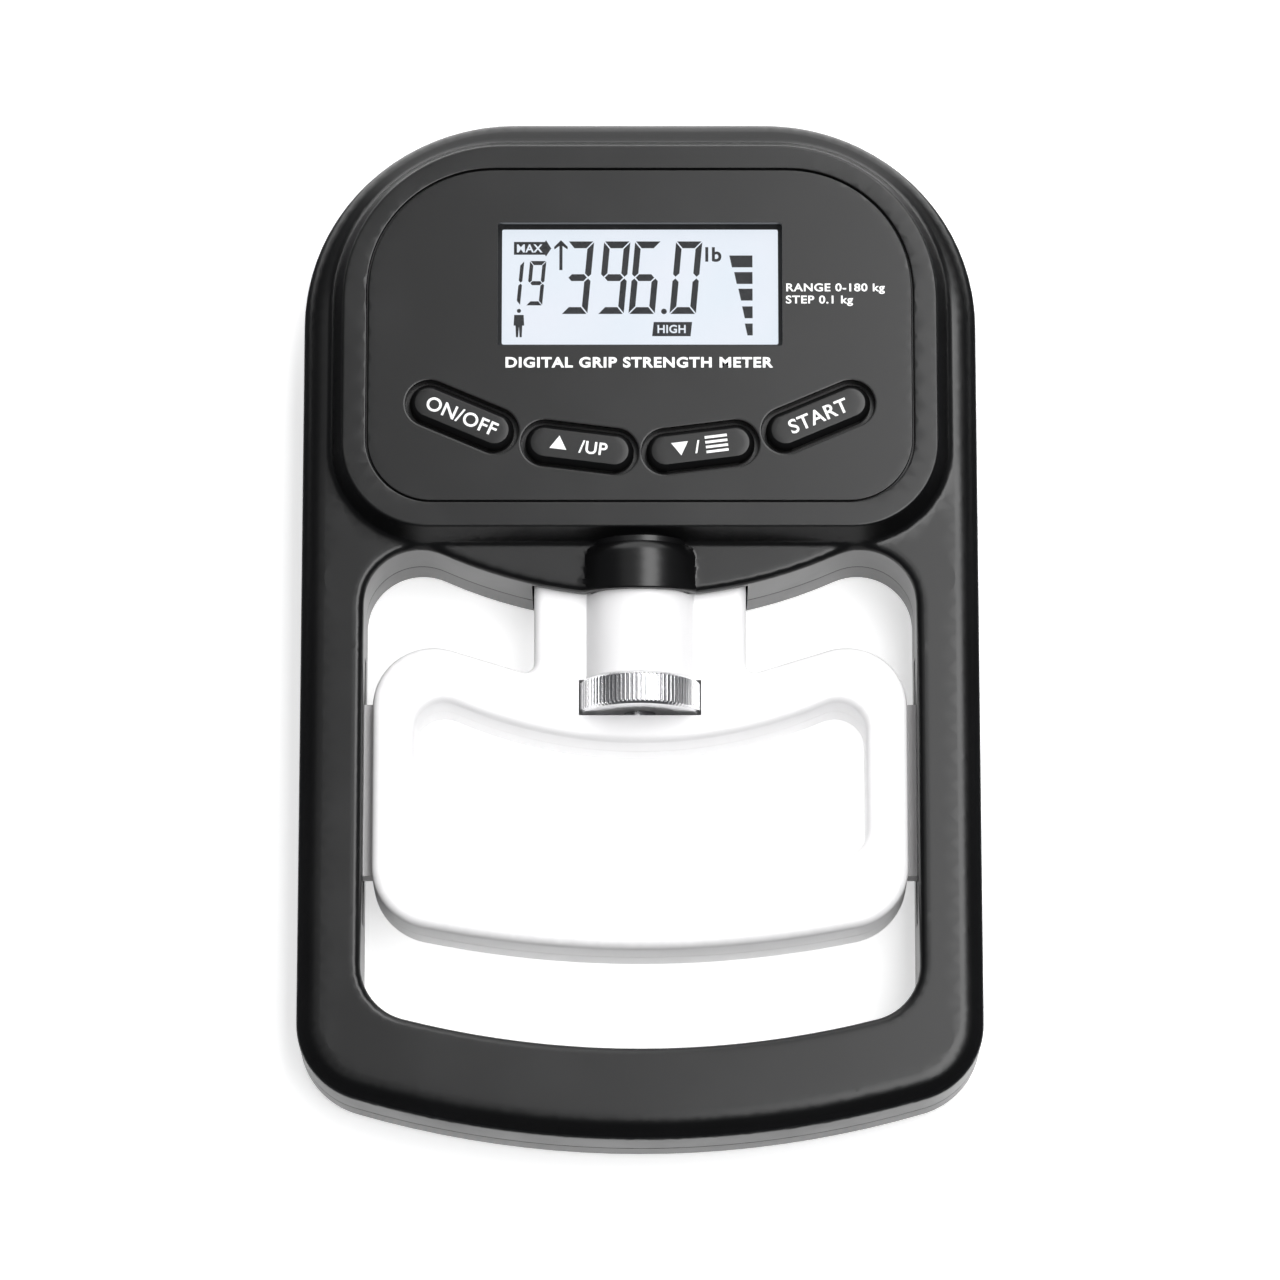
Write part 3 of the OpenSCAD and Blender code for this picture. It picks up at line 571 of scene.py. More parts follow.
def front_low(p):
    """The inside of the front shell: the parting plane under its walls and posts, its roof
    elsewhere, and the bores that run up into it."""
    rim, hole = depth(p, OUTER), -depth(p, HOLE)
    edge = np.minimum(rim, hole)
    z = np.where(edge < WALL, PARTING_Z + fall(GROOVE, edge), ROOF_Z)
    head = depth(p, HEAD) > 3
    z = np.where(head & (edge >= WALL), FACE_WALL_Z, z)
    z = np.where(near_post(p, SHELL_POSTS, POST_R), PARTING_Z, z)
    z = np.where(near_post(p, SHELL_POSTS, PILOT_R), PILOT_Z, z)
    z = np.where(near_post(p, BOARD_POSTS, BOARD_POST_R), BOARD_SEAT_Z, z)
    z = np.where(near_post(p, KEY_POSTS, BOARD_POST_R), KEY_SEAT_Z, z)
    z = np.where(in_box(p, *STEM), np.maximum(z, ROOF_Z), z)
    side = (np.abs(p[:, 0]) > GUIDE_IN) & (np.abs(p[:, 0]) < GUIDE_OUT)
    z = np.where(side & (p[:, 1] > GUIDE_Y0) & (p[:, 1] < GUIDE_Y1), np.maximum(z, GUIDE_SLOT_Z), z)
    bore = in_box(p, -BORE_R, BORE_R, *BORE_Y)
    tube = STUD_Z + np.sqrt(np.clip(BORE_R ** 2 - p[:, 0] ** 2, 0, None))
    return np.where(bore, np.maximum(z, tube), z)


BAY_WALL, CELL_SEAT_Z, STEM_FLOOR_Z = 1.2, 10.0, 2.6
BAY_OUTER = (-BAY_HW - BAY_WALL, BAY_HW + BAY_WALL, BAY_Y0 - BAY_WALL, BAY_Y1 + BAY_WALL)
DOOR_SEAT_Z, SCREW_SEAT_Z, R_BACK_HOLE = 1.8, 2.8, 1.2


def back_top(p):
    """The inside of the back shell: its floor, its posts, the battery bay's roof and the
    parting plane on its walls."""
    rim, hole = depth(p, OUTER), -depth(p, HOLE)
    edge = np.minimum(rim, hole)
    z = np.where(edge < WALL, PARTING_Z - fall(GROOVE, edge), FLOOR)
    z = np.where(near_post(p, SHELL_POSTS, SOCKET_R), PARTING_Z, z)
    z = np.where(near_post(p, CELL_POSTS, SOCKET_R), CELL_SEAT_Z, z)
    z = np.where(in_box(p, *BAY_OUTER), BAY_Z + BAY_WALL, z)
    return np.where(in_box(p, *STEM), STEM_FLOOR_Z, z)


def back_low(p):
    """The back: flat, with rounded edges, the door's recess and bay, and the screw wells."""
    rim, hole = depth(p, OUTER), -depth(p, HOLE)
    z = fall(R_BACK, rim) + fall(R_BACK_HOLE, hole)
    z = np.where(in_box(p, -DOOR_HW, DOOR_HW, DOOR_Y0, DOOR_Y1), DOOR_SEAT_Z, z)
    z = np.where(in_box(p, -BAY_HW, BAY_HW, BAY_Y0, BAY_Y1), BAY_Z, z)
    return np.where(near_post(p, SHELL_POSTS + CELL_POSTS, SCREW_HEAD_R), SCREW_SEAT_Z, z)


def edge_rows(loop, distances, sign=1):
    """Rows of points at the given distances inside an outline, or outside if sign is -1."""
    return [inset(loop, sign * d) for d in distances]


collar_x = COLLAR_R * np.sin(np.linspace(-1.08, 1.08, 39))
collar_fill = np.stack(np.meshgrid(collar_x, np.r_[np.arange(4.2, 11.5, 1.2), np.arange(11.5, 18, 0.4)]),
                       -1).reshape(-1, 2)
window_hole = box_loop(-27.6, 27.6, WINDOW_Y - 12.8, WINDOW_Y + 12.8)
key_holes = [capsule(k, WELL_R) for k in KEYS.values()]
rows = (edge_rows(OUTER, ring_depths(R_OUTER, 8)) + edge_rows(HOLE, ring_depths(R_HOLE, 5), -1)
        + edge_rows(POD, -POD_S[::2]) + [inset(PANEL, -0.1), inset(PANEL, -0.3), POD]
        + [inset(OUTER, GROOVE), inset(HOLE, -GROOVE)])
field = hex_fill(-HALF_W, HALF_W, -TOP_Y, TOP_Y, 3.2)
field = field[~in_box(field, -12.6, 12.6, 3, 18.2)]
verts, faces = relief(
    OUTER, [HOLE, window_hole, *key_holes],
    [PANEL, inset(OUTER, WALL), inset(HOLE, -WALL), box_loop(*STEM, step=0.6)]
    + both_circles(SHELL_POSTS, POST_R) + both_circles(SHELL_POSTS, PILOT_R, 14)
    + both_circles(BOARD_POSTS, BOARD_POST_R, 16) + both_circles(KEY_POSTS, BOARD_POST_R, 16)
    + [box_loop(s[0], s[1], GUIDE_Y0, GUIDE_Y1, step=1.0)
       for s in ((GUIDE_IN, GUIDE_OUT), (-GUIDE_OUT, -GUIDE_IN))],
    rows, np.concatenate([field, collar_fill]), front_low, front_top, 0.12)
make("front_shell_moulding", verts, faces, "frame", LOOKS["shell_black"], 32, ["front_shell"])

rows = (edge_rows(OUTER, ring_depths(R_BACK, 6)) + edge_rows(HOLE, ring_depths(R_BACK_HOLE, 4), -1)
        + [inset(OUTER, GROOVE), inset(HOLE, -GROOVE)])
verts, faces = relief(
    OUTER, [HOLE] + both_circles(SHELL_POSTS + CELL_POSTS, SCREW_HOLE_R, 16),
    [box_loop(-DOOR_HW, DOOR_HW, DOOR_Y0, DOOR_Y1), box_loop(-BAY_HW, BAY_HW, BAY_Y0, BAY_Y1),
     box_loop(*BAY_OUTER), inset(OUTER, WALL), inset(HOLE, -WALL), box_loop(*STEM, step=0.6)]
    + both_circles(SHELL_POSTS + CELL_POSTS, SOCKET_R)
    + both_circles(SHELL_POSTS + CELL_POSTS, SCREW_HEAD_R),
    rows, field, back_low, back_top, 0.12)
make("back_shell_moulding", verts, faces, "frame", LOOKS["shell_black"], 32, ["back_shell"])


# ---------------------------------------------------------------- face panel
R_PANEL, R_WELL = 0.22, 0.15


def panel_top(p):
    """The panel's face, with a small rounding at its rim and at its wells."""
    z = PANEL_TOP - fall(R_PANEL, depth(p, panel_rim))
    for well in panel_wells:
        z = z - fall(R_WELL, -depth(p, well))
    return z


panel_rim = inset(PANEL, 0.3)
panel_window = box_loop(-WINDOW_W / 2, WINDOW_W / 2, WINDOW_Y - WINDOW_H / 2, WINDOW_Y + WINDOW_H / 2, 0.5)
panel_wells = [capsule(k, WELL_R) for k in KEYS.values()]
rows = edge_rows(panel_rim, ring_depths(R_PANEL, 3))
for well in panel_wells:
    rows += edge_rows(well, ring_depths(R_WELL, 2) + [0.4], -1)
field = hex_fill(-52, 52, 21, 88, 3.0)
verts, faces = relief(panel_rim, [panel_window, *panel_wells], [], rows, field,
                      lambda p: np.full(len(p), PANEL_LOW), panel_top)
make("face_panel_plate", verts, faces, "frame", LOOKS["panel_black"], 30, ["face_panel"])


SLOPE_DROP, SLOPE_RUN = 1.0, 1.2
bezel_recess = (-29.2, 29.2, WINDOW_Y - 14.4, WINDOW_Y + 14.4)


def bezel_top(p):
    """The bezel's face, which slopes down to its opening."""
    return FACE_WALL_Z - SLOPE_DROP * np.clip(1 + depth(p, bezel_hole) / SLOPE_RUN, 0, 1)


def bezel_low(p):
    return np.where(in_box(p, *bezel_recess), GLASS_TOP, BOARD_SEAT_Z)


bezel_rim = box_loop(-31, 31, WINDOW_Y - 15.7, WINDOW_Y + 15.7, 0.6)
bezel_hole = box_loop(-26.25, 26.25, WINDOW_Y - 10.95, WINDOW_Y + 11.85, 0.3)
verts, faces = relief(bezel_rim, [bezel_hole], [box_loop(*bezel_recess)],
                      edge_rows(bezel_hole, [SLOPE_RUN / 2, SLOPE_RUN], -1),
                      hex_fill(-31, 31, 48, 80, 2.0), bezel_low, bezel_top, 0.3)
make("display_bezel", verts, faces, "frame", LOOKS["frame_black"], 30, ["lcd_frame"])


# ---------------------------------------------------------------- keys
def key_cap(name, key):
    """A cap as a profile carried round the key's outline: a flange, a straight side, a chamfer
    and a top that rises a little to its middle. Rows shrink to the line between the ends."""
    low, flange = KEY_LOW, KEY_LOW + 0.7
    side = KEY_TOP - 1.3
    profile = [(-KEY_R, low), (1.0, low), (1.0, flange), (0, flange), (0, side), (-0.06, side + 0.16),
               (-0.9, KEY_TOP - 0.14), (-1.02, KEY_TOP - 0.05), (-1.15, KEY_TOP - 0.03),
               (-2.2, KEY_TOP - 0.008), (-KEY_R, KEY_TOP)]
    x, y, turn, distance = key
    n = 96
    t = (np.arange(n) + 0.5) * 2 * pi / n
    c, s = cos(radians(turn)), sin(radians(turn))
    verts = []
    for out, z in profile:
        r = max(KEY_R + out, 0.002)
        px, py = r * np.cos(t) + np.sign(np.cos(t)) * distance / 2, r * np.sin(t)
        verts.append(np.stack([x + c * px - s * py, y + s * px + c * py, np.full(n, z)], 1))
    faces = closed_grid(len(profile), n)
    last = (len(profile) - 1) * n
    ends = [np.arange(n)[::-1][None], np.arange(last, last + n)[None]]
    make(name + "_cap", np.concatenate(verts), [faces, *ends], name, LOOKS["key_black"], 28,
         [name])


for name, key in KEYS.items():
    key_cap(name, key)


# ---------------------------------------------------------------- handle
R_GRIP, R_HANDLE, BOSS_R, BOSS_Y = 1.6, 1.9, 10.6, -11.15
SLOT_Y = (-18.0, -10.1)
GUIDE_BOX_Y, GUIDE_BOX_X, GUIDE_BOX_Z = (-47.7, -14.7), 46.4, (9.3, 14.1)
STUD_BORE_R, SKIRT_R, CHEEK_IN, CHEEK_OUT, HANDLE_SOCKET_R = 3.3, 6.8, 11, 12, 3.5


def handle_edges(p):
    return depth(p, HANDLE), -depth(p, GRIP)


def handle_skin(p):
    """How far the handle's face lies under its flat at its rounded edges."""
    rim, grip = handle_edges(p)
    return fall(R_HANDLE, rim) + fall(R_GRIP, grip)


def handle_top(p):
    """The handle's face, with the round boss over the stud."""
    z = HANDLE_TOP - handle_skin(p)
    boss = STUD_Z + np.sqrt(np.clip(BOSS_R ** 2 - p[:, 0] ** 2, 0, None)) - fall(0.4, p[:, 1] - BOSS_Y)
    on = (np.abs(p[:, 0]) < BOSS_R) & (p[:, 1] > BOSS_Y) & (p[:, 1] < 5.6)
    return np.where(on, soft_max(z, boss, 0.4), z)


def handle_inside(p, wall_z, floor_z):
    rim, grip = handle_edges(p)
    solid = (np.minimum(rim, grip) < HANDLE_WALL) | (np.abs(p[:, 0]) < 11.1)
    return np.where(solid, wall_z, floor_z)


def beside_guide(p):
    """Whether each point lies in the pocket that a guide fills, right or left."""
    return (np.abs(p[:, 0]) > GUIDE_BOX_X) & (p[:, 1] > GUIDE_BOX_Y[0]) & (p[:, 1] < GUIDE_BOX_Y[1])


def handle_front_low(p):
    """The inside of the handle's front half, with the bore for the stud, a wider one over the
    washer, and the round walls beside the knob."""
    edge = np.minimum(*handle_edges(p))
    z = handle_inside(p, HANDLE_MID + fall(0.25, edge), HANDLE_TOP - HANDLE_WALL)
    z = np.where(near_post(p, HANDLE_POSTS, POST_R), HANDLE_MID, z)
    z = np.where(near_post(p, HANDLE_POSTS, PILOT_R), HANDLE_TOP - 1.5, z)
    x = np.abs(p[:, 0])
    hollow = [(x < STUD_BORE_R) & (p[:, 1] > BOSS_Y - 1),
              in_box(p, -SKIRT_R, SKIRT_R, BOSS_Y + 0.1, SLOT_Y[1]),
              (x < CHEEK_OUT) & (x > CHEEK_IN) & (p[:, 1] > SLOT_Y[0]) & (p[:, 1] < BOSS_Y)]
    for inside, r in zip(hollow, (STUD_BORE_R, SKIRT_R, CHEEK_OUT)):
        z = np.where(inside, STUD_Z + np.sqrt(np.clip(r ** 2 - p[:, 0] ** 2, 0, None)), z)
    return np.where(beside_guide(p), GUIDE_BOX_Z[1], z)


def handle_back_top(p):
    edge = np.minimum(*handle_edges(p))
    z = handle_inside(p, HANDLE_MID - fall(0.25, edge), HANDLE_LOW + HANDLE_WALL)
    z = np.where(near_post(p, HANDLE_POSTS, HANDLE_SOCKET_R), HANDLE_MID, z)
    return np.where(beside_guide(p), GUIDE_BOX_Z[0], z)


def handle_back_low(p):
    z = HANDLE_LOW + handle_skin(p)
    return np.where(near_post(p, HANDLE_POSTS, SCREW_HEAD_R), HANDLE_LOW + 2.4, z)


handle_rows = (edge_rows(HANDLE, ring_depths(R_HANDLE, 6)) + edge_rows(GRIP, ring_depths(R_GRIP, 6), -1)
               + [inset(HANDLE, 0.25), inset(GRIP, -0.25)])
handle_fill = hex_fill(-51, 51, -63, 16, 2.6)
handle_fill = handle_fill[~in_box(handle_fill, -12.2, 12.2, -18.4, 16)]
boss_x = BOSS_R * np.sin(np.linspace(-1.26, 1.26, 35))
boss_y = np.r_[BOSS_Y + np.array([0.05, 0.12, 0.25, 0.4]), np.arange(-10, 5.6, 1.5)]
boss_fill = np.stack(np.meshgrid(boss_x, boss_y), -1).reshape(-1, 2)
stem_fill = hex_fill(-12, 12, 5.9, 15.4, 2.0)
pockets = [box_loop(GUIDE_BOX_X, 52, *GUIDE_BOX_Y), box_loop(-52, -GUIDE_BOX_X, *GUIDE_BOX_Y)]
pockets = [p[(np.abs(p[:, 0]) < 50.2)] for p in pockets]
verts, faces = relief(
    HANDLE, [GRIP, box_loop(-11.5, 11.5, SLOT_Y[0], BOSS_Y, step=0.8)],
    both_circles(HANDLE_POSTS, POST_R) + both_circles(HANDLE_POSTS, PILOT_R, 14)
    + [inset(GRIP, -HANDLE_WALL), box_loop(-STUD_BORE_R, STUD_BORE_R, SLOT_Y[1], 15.4, step=0.7),
       box_loop(-SKIRT_R, SKIRT_R, BOSS_Y + 0.1, SLOT_Y[1] - 0.1, step=0.7)],
    handle_rows + [inset(HANDLE, HANDLE_WALL)], np.concatenate([handle_fill, boss_fill, stem_fill, *pockets]),
    handle_front_low, handle_top, 0.1)
make("handle_front_moulding", verts, faces, "handle", LOOKS["handle_white"], 32,
     ["handle_front"])
verts, faces = relief(
    HANDLE, [GRIP, box_loop(-11.2, 11.2, *SLOT_Y, step=0.8)] + both_circles(HANDLE_POSTS, SCREW_HOLE_R, 14),
    both_circles(HANDLE_POSTS, HANDLE_SOCKET_R) + both_circles(HANDLE_POSTS, SCREW_HEAD_R)
    + [inset(GRIP, -HANDLE_WALL)],
    handle_rows + [inset(HANDLE, HANDLE_WALL)], np.concatenate([handle_fill, stem_fill, *pockets]),
    handle_back_low, handle_back_top, 0.1)
make("handle_back_moulding", verts, faces, "handle", LOOKS["handle_white"], 32,
     ["handle_back"])


# ---------------------------------------------------------------- knob
GROOVES, GROOVE_DEPTH, GROOVE_HALF, KNOB_BORE_R = 88, 0.4, 0.27, 3.0


def knurled_knob():
    """The knob as a radius over angle and length: pointed grooves that fade out into a chamfer
    at each end, where the rows close in to a shallow dish and the stud's bore."""
    low, high = (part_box("knob")[k].y / MM for k in (0, 1))
    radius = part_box("knob")[1].x / MM
    rows = [(KNOB_BORE_R, low + 1.2, 0), (KNOB_BORE_R, low + 0.5, 0), (7.6, low + 0.5, 0),
            (8.0, low + 0.35, 0), (8.1, low + 0.05, 0), (8.3, low, 0), (radius - 0.7, low, 0),
            (radius - 0.55, low + 0.03, 0), (radius - 0.12, low + 0.45, 0.15),
            (radius, low + 0.65, 1), (radius, high - 0.55, 1), (radius - 0.12, high - 0.4, 0.15),
            (radius - 0.5, high - 0.03, 0), (radius - 0.65, high, 0), (KNOB_BORE_R, high, 0),
            (KNOB_BORE_R, low + 1.2, 0)]
    n = GROOVES * 12
    t = np.arange(n) * 2 * pi / n
    away = np.abs((GROOVES * t / (2 * pi) + 0.5) % 1 - 0.5)
    cut = GROOVE_DEPTH * np.clip(1 - away / GROOVE_HALF, 0, 1)
    verts = []
    for r, y, share in rows:
        rr = r - cut * share
        verts.append(np.stack([rr * np.sin(t), np.full(n, y), STUD_Z + rr * np.cos(t)], 1))
    return np.concatenate(verts), [closed_grid(len(rows), n)[:, ::-1]]


verts, faces = knurled_knob()
make("knurled_knob", verts, faces, "knob", LOOKS["knob_chrome"], 25, ["knob"])


# ---------------------------------------------------------------- battery door
R_DOOR, DOOR_LOW, DOOR_TOP, RIB, RIB_PITCH = 0.4, 0.15, 1.5, 0.25, 1.4


def door_low(p):
    """The door's outer face: a rounded edge and, at its latch end, a row of finger ribs."""
    z = DOOR_LOW + fall(R_DOOR, depth(p, door_rim))
    ribs = RIB * (0.5 - 0.5 * np.cos((p[:, 1] - 80) * 2 * pi / RIB_PITCH))
    return z + np.where(in_box(p, -8, 8, 78.6, 84.2), ribs, 0)


door_rim = box_loop(-DOOR_HW + 0.3, DOOR_HW - 0.3, DOOR_Y0 + 0.3, DOOR_Y1 - 0.3, 0.8)
grip_fill = np.stack(np.meshgrid(np.linspace(-7.9, 7.9, 9), np.arange(78.6, 84.3, 0.175)), -1).reshape(-1, 2)
field = hex_fill(-26, 26, 61, 86, 3)
field = field[~in_box(field, -9, 9, 77.6, 85)]
verts, faces = relief(door_rim, [], [box_loop(-8, 8, 78.6, 84.3)],
                      edge_rows(door_rim, ring_depths(R_DOOR, 4)), np.concatenate([field, grip_fill]),
                      door_low, lambda p: np.full(len(p), DOOR_TOP), 0.05)
make("battery_door_plate", verts, faces, "battery_door", LOOKS["shell_black"], 32,
     ["battery_door"])


# ---------------------------------------------------------------- print and display
def letters(name, text, size, x, y, z, body, material, turn=0.0, bold=0.0, wide=1.0, align="CENTER",
            space=1.06, thick=0.02):
    """A line of thin raised print, centred on x and y, turned about Z, made solid as a mesh."""
    curve = bpy.data.curves.new(name, "FONT")
    curve.body = text
    curve.size = size
    curve.space_character = space
    curve.offset = bold
    curve.extrude = thick
    curve.align_x = align
    curve.resolution_u = 6
    holder = bpy.data.objects.new(name + "_curve", curve)
    bpy.context.scene.collection.objects.link(holder)
    bpy.context.view_layer.update()
    mesh = bpy.data.meshes.new_from_object(holder.evaluated_get(bpy.context.evaluated_depsgraph_get()))
    bpy.data.objects.remove(holder)
    co = np.empty(len(mesh.vertices) * 3, np.float32)
    mesh.vertices.foreach_get("co", co)
    co = co.reshape(-1, 3).astype(float)
    co[:, 0] *= wide
    co[:, 1] -= (co[:, 1].max() + co[:, 1].min()) / 2
    c, s = cos(radians(turn)), sin(radians(turn))
    co = np.stack([x + c * co[:, 0] - s * co[:, 1], y + s * co[:, 0] + c * co[:, 1], z + co[:, 2]], 1)
    mesh.vertices.foreach_set("co", (co * MM).astype(np.float32).ravel())
    mesh.name = name
    mesh.materials.clear()
    mesh.materials.append(material)
    mesh.update()
    piece = bpy.data.objects.new(name, mesh)
    bpy.context.scene.collection.objects.link(piece)
    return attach(piece, body)


def tablets(name, outlines, z, body, material, thick=0.03):
    """Thin solid tablets with the given outlines, in one piece."""
    verts, sides, caps, start = [], [], [], 0
    for o in outlines:
        o = np.array(o, float)
        area = o[:, 0] @ np.roll(o[:, 1], -1) - o[:, 1] @ np.roll(o[:, 0], -1)
        o = o if area > 0 else o[::-1]
        n = len(o)
        i = np.arange(n)
        verts += [np.c_[o, np.full(n, z)], np.c_[o, np.full(n, z + thick)]]
        sides.append(np.stack([i, (i + 1) % n, (i + 1) % n + n, i + n], 1) + start)
        caps += [(i[::-1] + start)[None], (i + n + start)[None]]
        start += 2 * n
    return make(name, np.concatenate(verts), [np.concatenate(sides), *caps], body, material, 20)


# the door's hinge tabs, which reach in under the back's face
tablets("battery_door_tabs", [box_loop(x - 4, x + 4, 59.8, DOOR_Y0 + 1.5, 0.5) for x in (-16, 16)],
        0.78, "battery_door", LOOKS["shell_black"], thick=0.71)


# ---------------------------------------------------------------- display and print
SEGMENTS = {"0": "abcdef", "1": "bc", "3": "abcdg", "6": "acdefg", "9": "abcdfg"}


def digit(char, x, y, w, h, t, slant):
    """The lit segments of one digit, its lower left corner at x, y, each cut at its ends so that a
    thin gap parts it from its neighbours."""
    g, m = 0.13 * t, h / 2
    shapes = {
        "a": [(g, h), (w - g, h), (w - t, h - t), (t, h - t)],
        "d": [(g, 0), (w - g, 0), (w - t, t), (t, t)],
        "g": [(t * 0.55, m), (t, m + t / 2), (w - t, m + t / 2), (w - t * 0.55, m), (w - t, m - t / 2),
              (t, m - t / 2)],
        "f": [(0, h - g), (t - g, h - t - g), (t - g, m + t / 2 + g), (t / 2 - g, m + g), (0, m + t / 2)],
        "e": [(0, g), (t - g, t + g), (t - g, m - t / 2 - g), (t / 2 - g, m - g), (0, m - t / 2)],
    }
    shapes["b"] = [(w - px, py) for px, py in shapes["f"]]
    shapes["c"] = [(w - px, py) for px, py in shapes["e"]]
    return [[(x + px + slant * py, y + py) for px, py in shapes[s]] for s in SEGMENTS[char]]


def on_glass(shapes):
    """Moves outlines from the window's own coordinates, zero at its middle, to the frame's."""
    return [[(x, y + WINDOW_Y) for x, y in shape] for shape in shapes]


def show_reading():
    """The display: four large digits, two small ones, flags, a figure and a row of level bars."""
    marks = []
    for char, x in (("3", -15.0), ("9", -8.1), ("6", -2.2), ("0", 5.6)):
        marks += digit(char, x, -4.9, 5.0, 14.4, 1.35, 0.089)
    marks.append(circle(4.55, -4.4, 0.55, 16))
    for char, x in (("1", -25.9), ("9", -21.7)):
        marks += digit(char, x, -3.2, 3.1, 8.8, 0.8, 0.089)
    marks.append([(-24.0, 6.85), (-18.1, 6.85), (-17.9, 6.5), (-16.9, 8.1), (-17.9, 9.75), (-18.1, 9.4),
                  (-24.0, 9.4)])
    marks.append([(-15.35, 3.8), (-14.75, 3.8), (-14.75, 8.6), (-13.8, 7.9), (-13.75, 8.4), (-15.05, 9.75),
                  (-16.35, 8.4), (-16.3, 7.9), (-15.35, 8.6)])
    marks.append(circle(-23.0, -4.3, 0.4, 16))
    marks.append([(-23.9, -5.1), (-22.1, -5.1), (-22.0, -7.2), (-22.35, -7.2), (-22.45, -9.5), (-22.85, -9.5),
                  (-23.0, -7.4), (-23.15, -9.5), (-23.55, -9.5), (-23.65, -7.2), (-24.0, -7.2)])
    marks.append([(2.3, -9.3), (9.6, -9.3), (9.9, -6.5), (2.6, -6.5)])
    for left, high in ((17.0, 6.7), (17.9, 3.4), (18.7, 0.1), (19.4, -3.4), (19.9, -6.8)):
        marks.append([(left, high), (21.4, high), (21.4, high - 2.35), (left + 0.5, high - 2.35)])
    tablets("display_segments", on_glass(marks), GLASS_TOP + 0.02, "frame", SEGMENT)
    letters("unit_mark", "lb", 3.9, 13.9, WINDOW_Y + 6.9, GLASS_TOP + 0.04, "frame", SEGMENT, bold=0.11,
            space=1.22)
    letters("flag_word", "HIGH", 2.2, 6.0, WINDOW_Y - 7.9, GLASS_TOP + 0.08, "frame",
            LOOKS["display_glass"], bold=0.05)
    letters("hold_word", "MAX", 2.2, -21.1, WINDOW_Y + 8.1, GLASS_TOP + 0.08, "frame",
            LOOKS["display_glass"], bold=0.05)


show_reading()
letters("panel_title", "DIGITAL GRIP STRENGTH METER", 2.75, -0.3, 48.75, PANEL_TOP, "frame", PRINT,
        bold=0.095, wide=1.13, space=1.12)
letters("panel_range", "RANGE 0-180 kg", 2.15, 27.6, 63.3, PANEL_TOP, "frame", PRINT, bold=0.045,
        wide=1.15, align="LEFT", space=1.08)
letters("panel_step", "STEP 0.1 kg", 2.15, 27.6, 60.9, PANEL_TOP, "frame", PRINT, bold=0.045,
        wide=1.15, align="LEFT", space=1.08)


def on_key(name, shapes):
    """Moves outlines from a key's own coordinates to the frame's."""
    x, y, turn, _ = KEYS[name]
    c, s = cos(radians(turn)), sin(radians(turn))
    return [[(x + c * px - s * py, y + s * px + c * py) for px, py in shape] for shape in shapes]


def key_word(name, text, size, along=0.0):
    x, y, turn, _ = KEYS[name]
    a = radians(turn)
    letters(name + "_word", text, size, x + along * cos(a), y + along * sin(a), KEY_TOP, name, PRINT, turn,
            bold=0.055)


key_word("key_on", "ON/OFF", 3.8)
key_word("key_start", "START", 3.9)
key_word("key_up", "/UP", 3.4, 2.6)
key_word("key_down", "/", 3.4, -0.6)
tablets("key_up_arrow", on_key("key_up", [[(-5.6, -1.0), (-2.4, -1.0), (-4.0, 1.6)]]), KEY_TOP,
        "key_up", PRINT)
tablets("key_down_arrow", on_key("key_down", [[(-5.4, 1.3), (-2.2, 1.3), (-3.8, -1.3)]]), KEY_TOP,
        "key_down", PRINT)
tablets("key_down_list", on_key("key_down", [
    [(1.0, y), (5.2, y), (5.2, y + 0.5), (1.0, y + 0.5)] for y in (-1.5, -0.55, 0.4, 1.35)]), KEY_TOP,
    "key_down", PRINT)


# ---------------------------------------------------------------- floor, light and camera
def area_light(name, place, aim, size_x, size_y, power, shine=True):
    """A soft box; one without shine lights the surfaces but isn't mirrored in them."""
    data = bpy.data.lights.new(name, "AREA")
    data.shape = "RECTANGLE"
    data.size, data.size_y, data.energy = size_x, size_y, power
    lamp = bpy.data.objects.new(name, data)
    lamp.location = place
    lamp.visible_glossy = shine
    lamp.rotation_euler = (Vector(aim) - Vector(place)).to_track_quat("-Z", "Y").to_euler()
    bpy.context.scene.collection.objects.link(lamp)


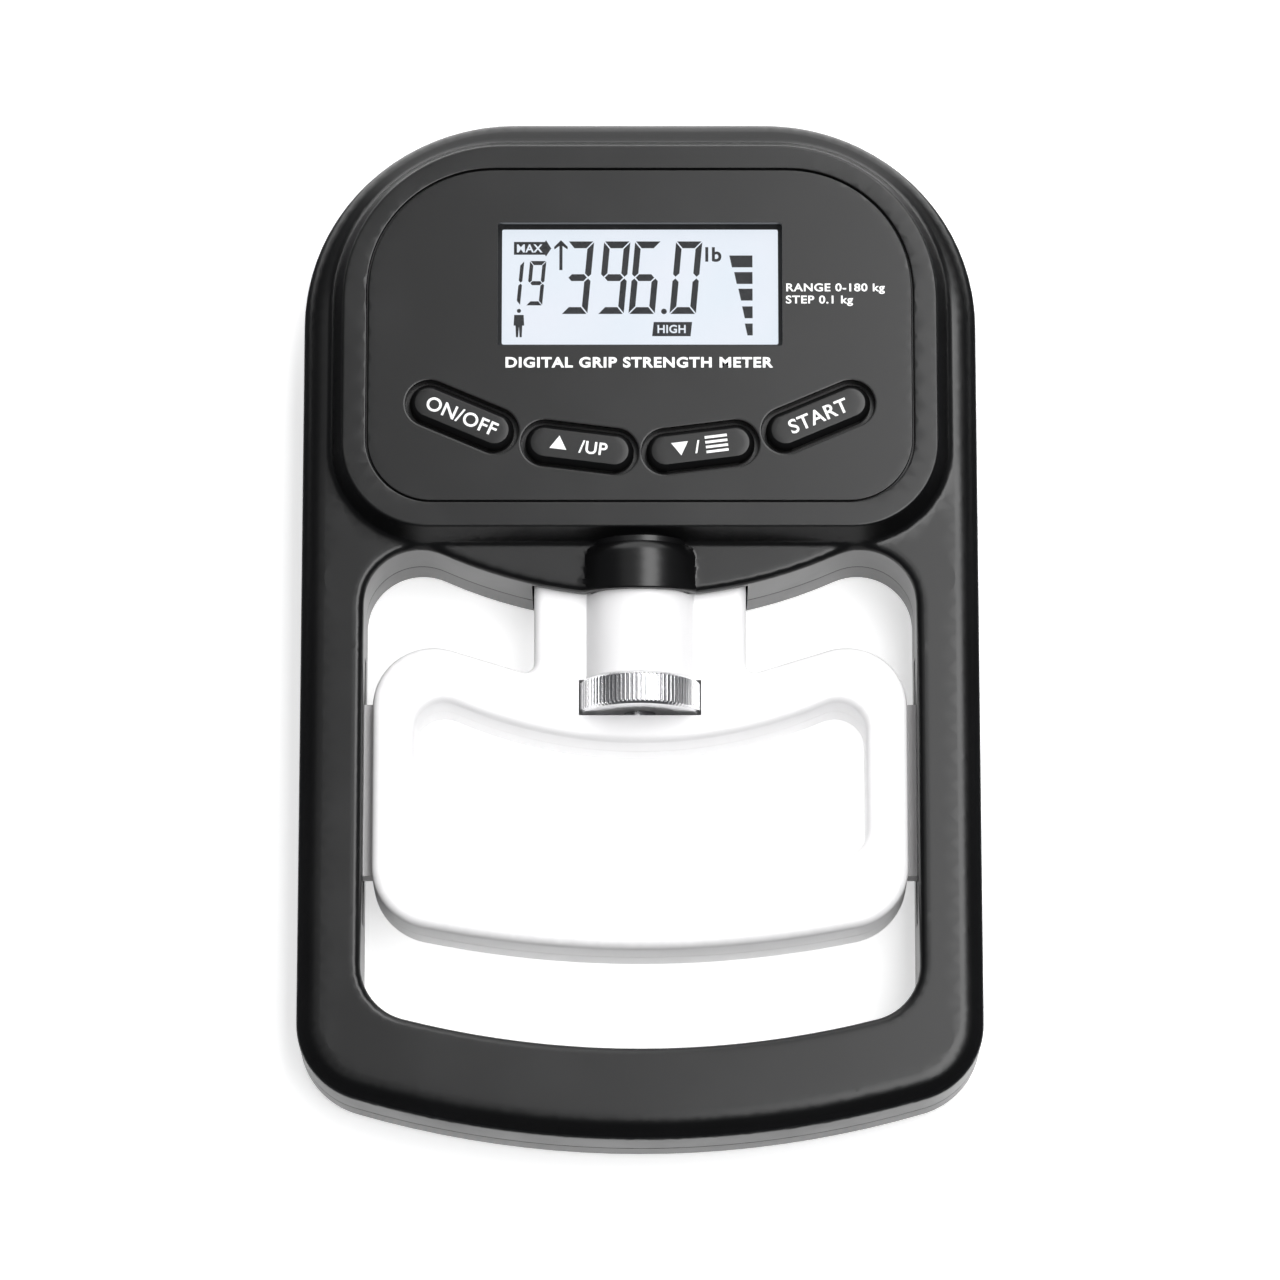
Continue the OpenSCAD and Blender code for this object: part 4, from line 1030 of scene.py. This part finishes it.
FLOOR_GLOW = 0.45


def lay_floor():
    """A wide pale light table just under the back. Only the sheets round the object and beyond
    its head are mirrored in it, as if the room on its other sides were dark."""
    material = finish("pale_floor", (0.86, 0.86, 0.86), 0.7, 0.05, 900, 0.01, vary=0.01)
    shader = material.node_tree.nodes["Principled BSDF"]
    shader.inputs["Emission Color"].default_value = (1, 1, 1, 1)
    shader.inputs["Emission Strength"].default_value = FLOOR_GLOW
    far, side = 4000, 600
    for name, outline, z in (
            ("floor", [(-far, -far), (far, -far), (far, far), (-far, far)], -0.6),
            ("far_sheet", [(-side, 106), (side, 106), (side, far), (-side, far)], -0.5),
            ("near_sheet", inset(OUTER[::3], -7), -0.4)):
        mesh = bpy.data.meshes.new(name)
        mesh.from_pydata([(x * MM, y * MM, z * MM) for x, y in outline], [], [tuple(range(len(outline)))])
        mesh.materials.append(material)
        sheet = bpy.data.objects.new(name, mesh)
        sheet.visible_glossy = name != "floor"
        bpy.context.scene.collection.objects.link(sheet)


lay_floor()
area_light("wide_box", (-0.05, 0.55, 1.7), (-0.05, 0.55, 0), 2.2, 2.9, 7)
area_light("right_box", (0.61, 0.55, 1.69), (0.61, 0.55, 0), 0.9, 2.9, 40)
area_light("far_box", (0, 2.0, 0.85), (0, 0, 0.6), 2.6, 1.7, 21)
area_light("fill_box", (0, 0, 2.4), (0, 0, 0), 4.2, 4.2, 38, shine=False)

world = bpy.data.worlds.new("room")
world.use_nodes = True
world.node_tree.nodes["Background"].inputs["Color"].default_value = (0.9, 0.93, 1.0, 1)
world.node_tree.nodes["Background"].inputs["Strength"].default_value = 0.07
bpy.context.scene.world = world
bpy.context.scene.view_settings.view_transform = "Standard"

camera_data = bpy.data.cameras.new("camera")
camera_data.lens, camera_data.sensor_width = 196.2, 36.0
camera = bpy.data.objects.new("camera", camera_data)
camera.location = (0, -0.3214, 1.2948)
camera.rotation_euler = (radians(14), 0, 0)
bpy.context.scene.collection.objects.link(camera)
bpy.context.scene.camera = camera

note_size()
